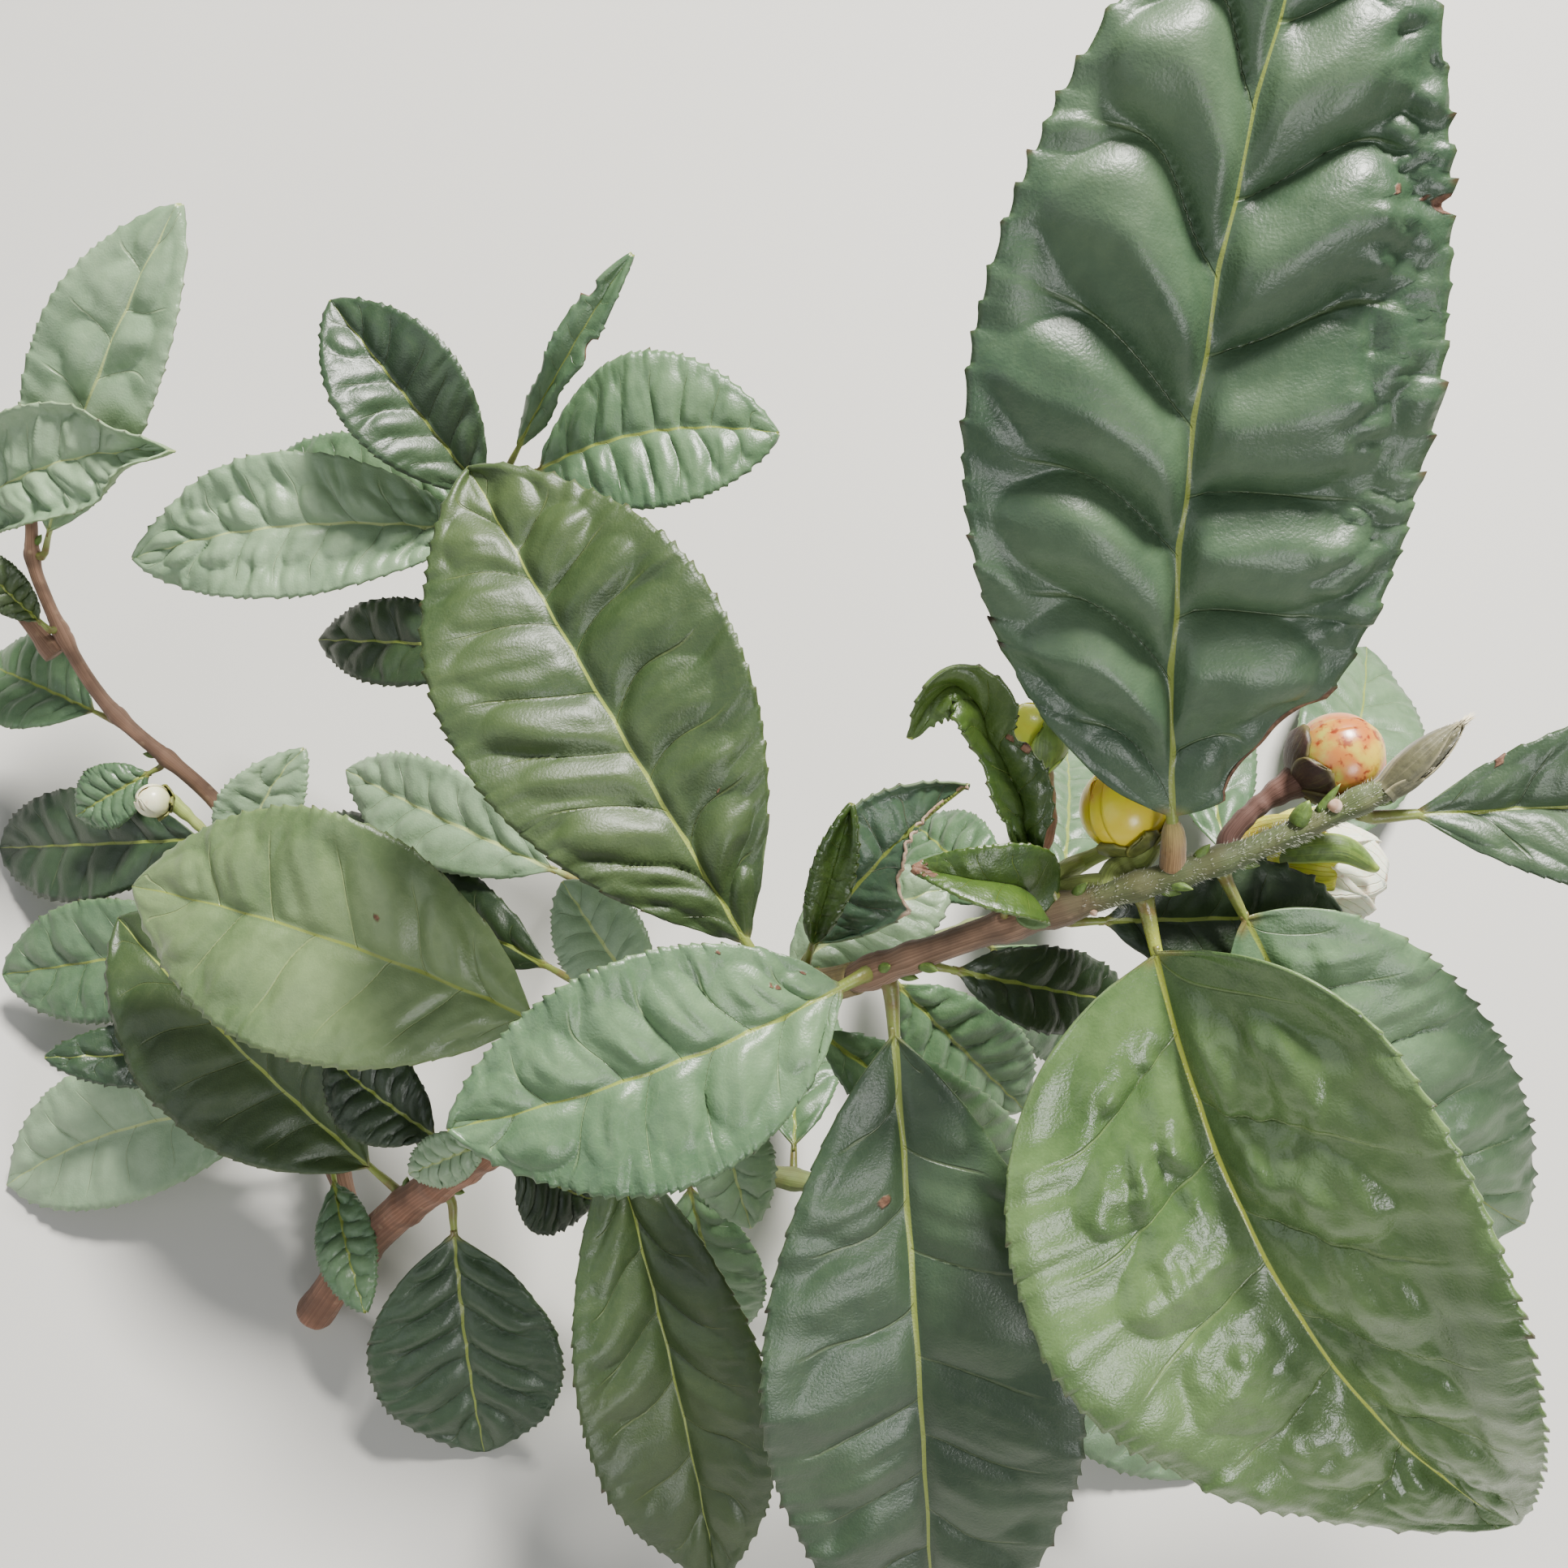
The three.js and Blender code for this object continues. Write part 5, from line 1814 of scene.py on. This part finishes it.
@dataclass
class TerminalBud:
    """The silky pointed bud at the end of the flowering shoot: long scales, one around the other.

    Args:
        shoot: the flowering shoot.
    """

    shoot: Stem
    tip: Vector = field(default_factory=lambda: Vector((63.6, 6.1, 4)))
    radius: float = 1.7
    wave: tuple[float, float] = (0.22, 0.97)

    def __post_init__(self) -> None:
        """Works out the bud's axis."""
        foot = self.shoot.beyond(self.tip, self.radius)
        self.path = Path([foot, self.tip])
        self.heading = (self.tip - foot).normalized()
        self.side = square_to(self.heading, OUT_OF_SPRAY)
        self.up = self.heading.cross(self.side)

    def swell(self, share: float) -> float:
        """Radius at a share of the bud's length."""
        return self.radius * math.sin(math.pi * between(*self.wave, min(max(share, 0.0), 1.0)))

    def build(self) -> None:
        """Makes the scales and a core."""
        scales = Mesh("bud_terminal_scales")
        rows = ((2.4, 1.0, 1.5, 0.0), (5.4, 0.9, 1.5, 0.14), (3.9, 0.46, 1.2, 0.32), (0.9, 0.3, 1.1, 0.36))
        for i, (turn, length, spread, outset) in enumerate(rows):
            box = (i / 4, (i + 1) / 4, 0.0, 0.8)

            def place(x: float, y: float) -> Corner:
                """One corner of a scale."""
                share = between(-0.06, length, y)
                width = spread * (1 - max(y, 0.0) ** 2.6) ** 0.7
                around = turn + x * width
                out = spoke(self.side, self.up, around)
                keel = 0.16 * smooth(0.5, 0.0, abs(x)) * smooth(0.0, 0.4, y)
                wrinkle = 0.05 * noise.noise(Vector((x * 4, y * 2, turn)))
                swell = self.swell(share) - 0.16 + outset * (1 - y) + keel + wrinkle
                point = self.path.points[1] + self.heading * self.path.length * share
                return point + out * max(swell, 0.14), {"across": x, "along": y}

            scales.blade((20, 44), place, 0.13, box)
        core = Path([self.path.point(0) - self.heading * 1.2, self.path.point(self.path.length * 0.96)])

        def radius(along: float, turn: float) -> float:
            """Radius of the core."""
            share = along / core.length
            return 0.0 if share > NEAR_END else self.swell(share * 0.96) * 0.86 * smooth(1.0, 0.85, share)

        scales.tube(core, even_steps(core.length, 20), radius, 14, (0.1, 0.9, 0.84, 0.98))
        scales.piece([SILKY_SCALE], "young_growth", ["bud_terminal"])
        self.build_tuft()

    def build_tuft(self) -> None:
        """Makes the cream tuft at the bud's tip and the down on its scales."""
        draw = random.Random(5)
        tuft = Mesh("bud_terminal_down")
        count = 260
        for i in range(count):
            share = 0.9 + 0.06 * draw.random() if i < 90 else draw.uniform(0.08, 0.92)
            turn = draw.uniform(0, math.tau)
            out = spoke(self.side, self.up, turn)
            near_tip = smooth(0.86, 0.94, share)
            radius = max(self.swell(share) - 0.1 - 0.25 * near_tip, 0.05)
            foot = self.path.point(self.path.length * share) + out * radius
            heading = (self.heading + out * draw.uniform(0.05, 0.3)).normalized()
            length = draw.uniform(0.3, 0.6) + near_tip * draw.uniform(0.3, 0.9)
            thread = Path([foot, foot + heading * length])
            radii = (0.035 + 0.05 * near_tip, 0.0)
            tuft.tube(thread, [0.0, thread.length], radii, 3, bake_box(i, 17, 17, SMALL_EDGE))
        tuft.piece([CREAM_DOWN], "young_growth")


@dataclass
class OpeningFlower:
    """The flower that is opening under the shoot: yellow outer petals, white inner ones and stamens.

    Args:
        shoot: the flowering shoot.
    """

    shoot: Stem
    along: float = 45
    centre: Vector = field(default_factory=lambda: Vector((49.5, -7, -14)))
    axis: Vector = field(default_factory=lambda: Vector((0.9, -0.25, -0.35)).normalized())
    cup_radius: float = 3.2
    stalk_radius: float = 1.1
    petals: int = 6
    petal_length: float = 10.5
    petal_width: float = 9.5
    opening: float = 32.0
    foot_radius: float = 1.2

    def petal(
        self, mesh: Mesh, turn: float, size: float, opening: float, cupped: float, box: Box
    ) -> None:
        """Adds one cupped petal.

        Args:
            mesh: the mesh to add it to.
            turn: where it is around the axis, in radians.
            size: its size beside the solid's petals.
            opening: degrees that it leans out.
            cupped: how far its sides close in, as a share of its half width.
            box: box of the bake picture.
        """
        outward = square_to(self.axis, OUT_OF_SPRAY)
        around = Matrix.Rotation(turn, 3, self.axis) @ outward
        angle = math.radians(opening)
        heading = self.axis * math.cos(angle) + around * math.sin(angle)
        foot = self.centre + around * self.foot_radius
        chord = self.centre + heading * self.petal_length * size - foot
        along = chord.normalized()
        face = square_to(along, -around)
        across = along.cross(face)

        def place(x: float, y: float) -> Corner:
            """One corner of the petal."""
            half = self.petal_width / 2 * size * math.sin(math.pi * between(0.12, 0.86, y)) ** 0.6
            notch = 0.5 * smooth(0.35, 0.0, abs(x)) * smooth(0.85, 1.0, y)
            bow = 4 * y * (1 - y) * chord.length * -0.14
            cup = abs(x) ** 1.8 * half * cupped
            frill = 0.4 * noise.noise(Vector((x * 3, y * 4, turn))) * smooth(0.3, 1.0, max(abs(x), y))
            point = foot + chord * y - along * notch + face * (bow + cup + frill) + across * (x * half)
            return point, {"across": x, "along": y}

        mesh.blade((20, 26), place, 0.15, box)

    def build(self) -> None:
        """Makes the petals, sepals, stamens and stalk."""
        white, yellow = Mesh("flower_opening_white_petals"), Mesh("flower_opening_yellow_petals")
        for i in range(self.petals):
            turn = math.tau * (i + 0.25) / self.petals
            self.petal(white, turn, 1.28, self.opening - 9, 0.5, bake_box(i, 3, 4))
        for i in range(3):
            turn = math.tau * (i + 0.6) / 3
            self.petal(white, turn, 0.9, self.opening - 20, 0.6, bake_box(6 + i, 3, 4))
        for i in range(4):
            turn = math.tau * (i / 4 - 0.26)
            self.petal(yellow, turn, 0.78, self.opening + 18, 0.5, bake_box(i, 5, 1))
        line = (46.0, -7.3, -12.6), (48.8, -6.0, -10.2), (55.0, -4.5, -9.8)
        self.lens(yellow, line, 2.4, bake_box(4, 5, 1))
        white.piece([WHITE_PETAL], "petal", ["flower_opening"])
        yellow.piece([YELLOW_PETAL], "petal", ["flower_opening"])
        self.build_cup()
        self.build_stamens()

    def lens(self, mesh: Mesh, points: Sequence[Point], half: float, box: Box) -> None:
        """Adds a curved, pointed petal or bract along a line.

        Args:
            mesh: the mesh to add it to.
            points: points of the line.
            half: half its width.
            box: box of the bake picture.
        """
        line = Path([Vector(point) for point in points])

        def place(x: float, y: float) -> Corner:
            """One corner of it."""
            at = line.length * y
            heading = line.tangent(at)
            across = heading.cross(square_to(heading, OUT_OF_SPRAY))
            width = half * math.sin(math.pi * between(0.12, 0.97, y)) ** 0.8
            point = line.point(at) + across * (x * width) - OUT_OF_SPRAY * x * x * half * 0.5
            return point, {"across": x, "along": y}

        mesh.blade((14, 28), place, 0.25, box)

    def build_cup(self) -> None:
        """Makes the stalk with its cup, and the sepals around it."""
        foot = self.shoot.seat(self.along, self.centre, self.stalk_radius, -0.4)
        path = Path([foot, self.centre])
        end = path.length + self.cup_radius * 0.5
        stations = even_steps(end, 34)

        def radius(along: float, turn: float) -> float:
            """Radius of the stalk and cup."""
            ball = math.sqrt(max(self.cup_radius**2 - (along - path.length) ** 2, 0.0)) * 0.86
            return 0.0 if along > end - SAME_PLACE else max(ball, self.stalk_radius * 0.8)

        cup = Mesh("flower_opening_cup")
        cup.tube(path, stations, radius, 18, (0.02, 0.98, 0.52, 0.98))
        outward = square_to(self.axis, OUT_OF_SPRAY)
        for i in range(5):
            around = Matrix.Rotation(math.tau * (i + 0.35) / 5, 3, self.axis) @ outward
            side = self.axis.cross(around)

            def place(x: float, y: float) -> Corner:
                """One corner of a sepal."""
                polar = between(0.5, 1.9, y)
                width = 2.3 * math.sin(math.pi * between(0.18, 0.97, y)) ** 0.7
                radius = self.cup_radius * 0.92 + 0.2
                out = around * math.sin(polar) - self.axis * math.cos(polar)
                bend = -0.12 * (x * width) ** 2
                return self.centre + out * (radius + bend) + side * (x * width), {"across": x, "along": y}

            cup.blade((10, 12), place, 0.28, (i / 5, (i + 1) / 5, 0.0, 0.5))
        line = ((49.6, -7.4, -11.6), (52.2, -6.7, -9.2), (56.5, -6.6, -8.5), (60.6, -8.7, -10.5))
        self.lens(cup, line, 1.35, (0.0, 0.02, 0.52, 0.98))
        cup.piece([GREEN_SEPAL], "green_stem", ["flower_opening"])

    def build_stamens(self) -> None:
        """Makes a tuft of threads, each with a small head."""
        draw = random.Random(7)
        tuft = Mesh("flower_opening_stamens")
        outward = square_to(self.axis, OUT_OF_SPRAY)
        side = self.axis.cross(outward)
        for i in range(46):
            turn = draw.uniform(0, math.tau)
            lean = draw.uniform(0.0, 0.42)
            length = draw.uniform(4.6, 6.6)
            heading = self.axis + spoke(outward, side, turn) * lean
            start = self.centre + self.axis * 1.4
            thread = Path([start, start + heading.normalized() * length])
            head = thread.length
            stations = [0.0, head * 0.86, head * 0.9, head * 0.95, head]
            tuft.tube(thread, stations, (0.07, 0.06, 0.26, 0.24, 0.0), 5, bake_box(i, 7, 7, SMALL_EDGE))
        tuft.piece([STAMEN], "petal", ["flower_opening"])


# Scars and bracts of the shoot: place, direction, lean to the tip, radius and height
KNOBS = (
    ("shoot_scars", SCAR, (
        (50.5, (0.6, 1.0, 0.9), 0.9, 0.75, 0.7), (26.0, (0.0, -1.0, 0.6), 0.4, 0.4, 0.4),
    )),
    ("shoot_bracts", GREEN_SEPAL, (
        (47.0, (0.0, 1.0, 0.7), 0.9, 0.95, 2.2), (49.2, (0.2, 1.0, 0.5), 1.6, 0.45, 3.0),
        (34.0, (0.1, -0.8, 0.9), 1.2, 0.5, 1.8), (8.0, (0.0, -1.0, 0.7), 1.4, 0.6, 1.9),
    )),
)


@dataclass
class ShootDetails:
    """What the young shoot carries besides leaves and buds: axil buds, scars, hairs and a stout leaf stalk.

    Args:
        stems: the stems by name.
        length: length of an axil bud.
        radius: radius of an axil bud.
        hairs: how many hairs it has.
    """

    stems: dict[str, Stem]
    length: float = 2.0
    radius: float = 0.55
    hairs: int = 1500

    def build(self) -> None:
        """Makes each kind as one piece."""
        self.build_axil_buds()
        self.build_knobs()
        self.build_side_scale()
        self.build_twig_end()
        self.build_stout_stalk()
        self.build_hairs()

    def build_axil_buds(self) -> None:
        """Makes the small pointed buds in the leaf axils."""
        buds = Mesh("axil_buds")
        rows = [row for row in LEAF_ROWS if row[4] > 7]
        for i, row in enumerate(rows):
            stem = self.stems[row[1]]
            tip = Vector(row[3])
            at = min(row[2] + 1.8, stem.path.length - 0.6)
            seat = stem.seat(at, tip, 0.0, -0.4)
            out = square_to(stem.path.tangent(at), tip - stem.path.point(at))
            heading = (stem.path.tangent(at) * 1.6 + out).normalized()
            path = Path([seat, seat + heading * self.length])
            radii = [self.radius * math.sin(math.pi * between(0.3, 1.0, k / 9)) for k in range(10)]
            buds.tube(path, even_steps(path.length, 9), radii, 10, bake_box(i, 7, 7, SMALL_EDGE))
        buds.piece([GREEN_SEPAL], "young_growth")

    def build_knobs(self) -> None:
        """Makes the pale scars and the pointed bracts of the shoot."""
        for name, finish, rows in KNOBS:
            mesh = Mesh(name)
            for i, row in enumerate(rows):
                self.knob(mesh, bake_box(i, 3, 3, SMALL_EDGE), *row)
            mesh.piece([finish], "green_stem")

    def knob(
        self, mesh: Mesh, box: Box, along: float, lean: Point, stretch: float, radius: float, height: float
    ) -> None:
        """Adds a rounded or pointed knob to the shoot's side.

        Args:
            mesh: the mesh to add it to.
            box: box of the bake picture.
            along: where it is, in millimetres.
            lean: direction that it stands out in.
            stretch: how much it leans towards the shoot's tip.
            radius: radius of its foot.
            height: how far it stands out.
        """
        shoot = self.stems[SHOOT]
        tangent = shoot.path.tangent(along)
        out = square_to(tangent, Vector(lean))
        foot = shoot.path.point(along) + out * (shoot.radius(along) - 0.35)
        path = Path([foot, foot + (out + tangent * stretch).normalized() * (height + 0.35)])
        radii = [radius * math.cos(math.pi / 2 * (k / 8) ** 1.6) for k in range(8)]
        mesh.tube(path, even_steps(path.length, 8), [*radii, 0.0], 12, box)

    def build_side_scale(self) -> None:
        """Makes the long pale scale that lies between the side twig and the shoot."""
        points = (25.6, -11.0, -5.4), (28.4, -9.9, -3.6), (32.5, -9.6, -2.9), (36.6, -9.4, -1.8)

        def radius(share: float, turn: float) -> float:
            """Radius of the scale, which is flat and pointed."""
            flat = 1 - 0.3 * math.cos(math.tau * turn) ** 2
            return 1.05 * flat * math.sin(math.pi * between(0.1, 0.93, share)) ** 0.7

        build_limb("side_scale", Path(points), radius, (14, 24), PALE_TWIG)

    def build_twig_end(self) -> None:
        """Makes the bent end of the flower twig, which runs up to the yellow bud."""
        twig = self.stems["flower_twig"]
        end = twig.path.point(twig.path.length)
        start = end - twig.path.tangent(twig.path.length) * 2.5

        def radius(share: float, turn: float) -> float:
            """Radius of the twig's end."""
            return twig.tip_radius * (0.92 + 0.12 * math.sin(share * 9))

        path = Path([start, end, (32.2, -6.4, -5.4), (34.2, -5.0, -4.6)])
        build_limb("flower_twig_end", path, radius, (18, 30), PALE_TWIG)

    def build_stout_stalk(self) -> None:
        """Makes the stout bronze stalk of the tall leaf at the top, which is the first leaf."""
        leaf = Foliage(self.stems).leaf(LEAF_ROWS[0])
        foot, end = leaf.foot - leaf.heading * 1.3, leaf.middle(0.043) - leaf.face * 0.5
        path = Path([foot, leaf.middle(0.02), end])

        def radius(share: float, turn: float) -> float:
            """Radius of the stalk, which is rough and rounded at its end."""
            angle = math.tau * turn
            place = Vector((math.cos(angle) * 4, math.sin(angle) * 4, share * path.length * 3))
            return (1.28 - 0.12 * share + 0.07 * noise.noise(place)) * max(1 - share**5, 0.0) ** 0.5

        build_limb("stout_stalk", path, radius, (22, 22), BRONZE_STALK)

    def build_hairs(self) -> None:
        """Makes short hairs on the young end of the flowering shoot."""
        draw = random.Random(11)
        mesh = Mesh("silver_hairs")
        shoot = self.stems[SHOOT]
        for i in range(self.hairs):
            along = shoot.path.length * draw.uniform(0.42, 1.0) ** 0.9
            turn = draw.uniform(0, math.tau)
            tangent = shoot.path.tangent(along)
            side = square_to(tangent, OUT_OF_SPRAY)
            out = spoke(side, side.cross(tangent), turn)
            foot = shoot.path.point(along) + out * (shoot.radius(along) - 0.1)
            heading = (out + tangent * draw.uniform(0.3, 1.2)).normalized()
            thread = Path([foot, foot + heading * draw.uniform(0.3, 0.6)])
            mesh.tube(thread, [0.0, thread.length], (0.03, 0.0), 3, bake_box(i, 30, 30, SMALL_EDGE))
        mesh.piece([HAIR], "young_growth")


# Studio


@dataclass(frozen=True)
class Lamp:
    """A soft area light.

    Args:
        at: where it is, in metres.
        towards: the point that it faces.
        size: its width in metres.
        power: in watts.
    """

    name: str
    at: Point
    towards: Point
    size: float
    power: float
    colour: Colour = (1.0, 1.0, 1.0)

    def build(self) -> None:
        """Adds the light."""
        data = bpy.data.lights.new(self.name, "AREA")
        data.size = self.size
        data.energy = self.power
        data.color = self.colour
        lamp = put_in_scene(self.name, data)
        lamp.location = self.at
        lamp.rotation_euler = (Vector(self.towards) - Vector(self.at)).to_track_quat("-Z", "Y").to_euler()


@dataclass
class Studio:
    """A pale floor, soft lights and the camera at the photograph's viewing angle."""

    floor_size: float = 6.0
    floor_colour: Colour = (0.52, 0.51, 0.48)
    sky: Colour = (0.93, 0.96, 1.0)
    sky_strength: float = 0.3
    eye: Vector = field(default_factory=lambda: Vector((0, 0, 150)))
    lens: float = 36.1
    sensor: float = 36.0
    lamps: tuple[Lamp, ...] = (
        Lamp("key", (0.29, 0.5, 0.9), (0, 0, 0.06), 0.2, 36.0, (1.0, 0.975, 0.93)),
        Lamp("fill", (-0.7, -0.5, 0.7), (0, 0, 0.08), 0.8, 2.5, (0.95, 0.98, 1.0)),
        Lamp("front", (0.35, -0.75, 0.55), (0, 0, 0.08), 0.26, 4.0),
    )

    def build(self) -> None:
        """Adds the floor, the lights, the sky and the camera."""
        self.build_floor()
        for lamp in self.lamps:
            lamp.build()
        world = bpy.data.worlds.new("sky")
        world.use_nodes = True
        background = world.node_tree.nodes["Background"]
        background.inputs["Color"].default_value = (*self.sky, 1.0)
        background.inputs["Strength"].default_value = self.sky_strength
        bpy.context.scene.world = world
        self.build_camera()

    def build_floor(self) -> None:
        """Adds the pale floor that the branch lies on."""
        bm = bmesh.new()
        bmesh.ops.create_grid(bm, x_segments=1, y_segments=1, size=self.floor_size / 2)
        mesh = bpy.data.meshes.new("floor")
        bm.to_mesh(mesh)
        bm.free()
        floor = put_in_scene("floor", mesh)
        g = Graph("pale_floor")
        speckle = g.clouds(0.01, 3.0)
        colour = g.mix(speckle * 0.25, self.floor_colour, tuple(c * 0.93 for c in self.floor_colour))
        mesh.materials.append(g.finish(colour, 0.7))

    def build_camera(self) -> None:
        """Adds the camera, which looks straight into the spray."""
        data = bpy.data.cameras.new("camera")
        data.sensor_width = self.sensor
        data.lens = self.lens
        data.clip_start = 0.005
        camera = put_in_scene("camera", data)
        camera.location = TO_PART @ self.eye
        camera.rotation_euler = (LEAN, 0.0, 0.0)
        bpy.context.scene.camera = camera


def main() -> None:
    """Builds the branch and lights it."""
    logging.basicConfig(level=logging.INFO, format="%(name)s %(message)s")
    stems = grow_stems()
    Wood(stems).build()
    Foliage(stems).build()
    for shape in BUDS:
        FlowerBud(shape, stems).build()
    TerminalBud(stems[SHOOT]).build()
    OpeningFlower(stems[SHOOT]).build()
    ShootDetails(stems).build()
    Studio().build()


if __name__ == "__main__":
    main()
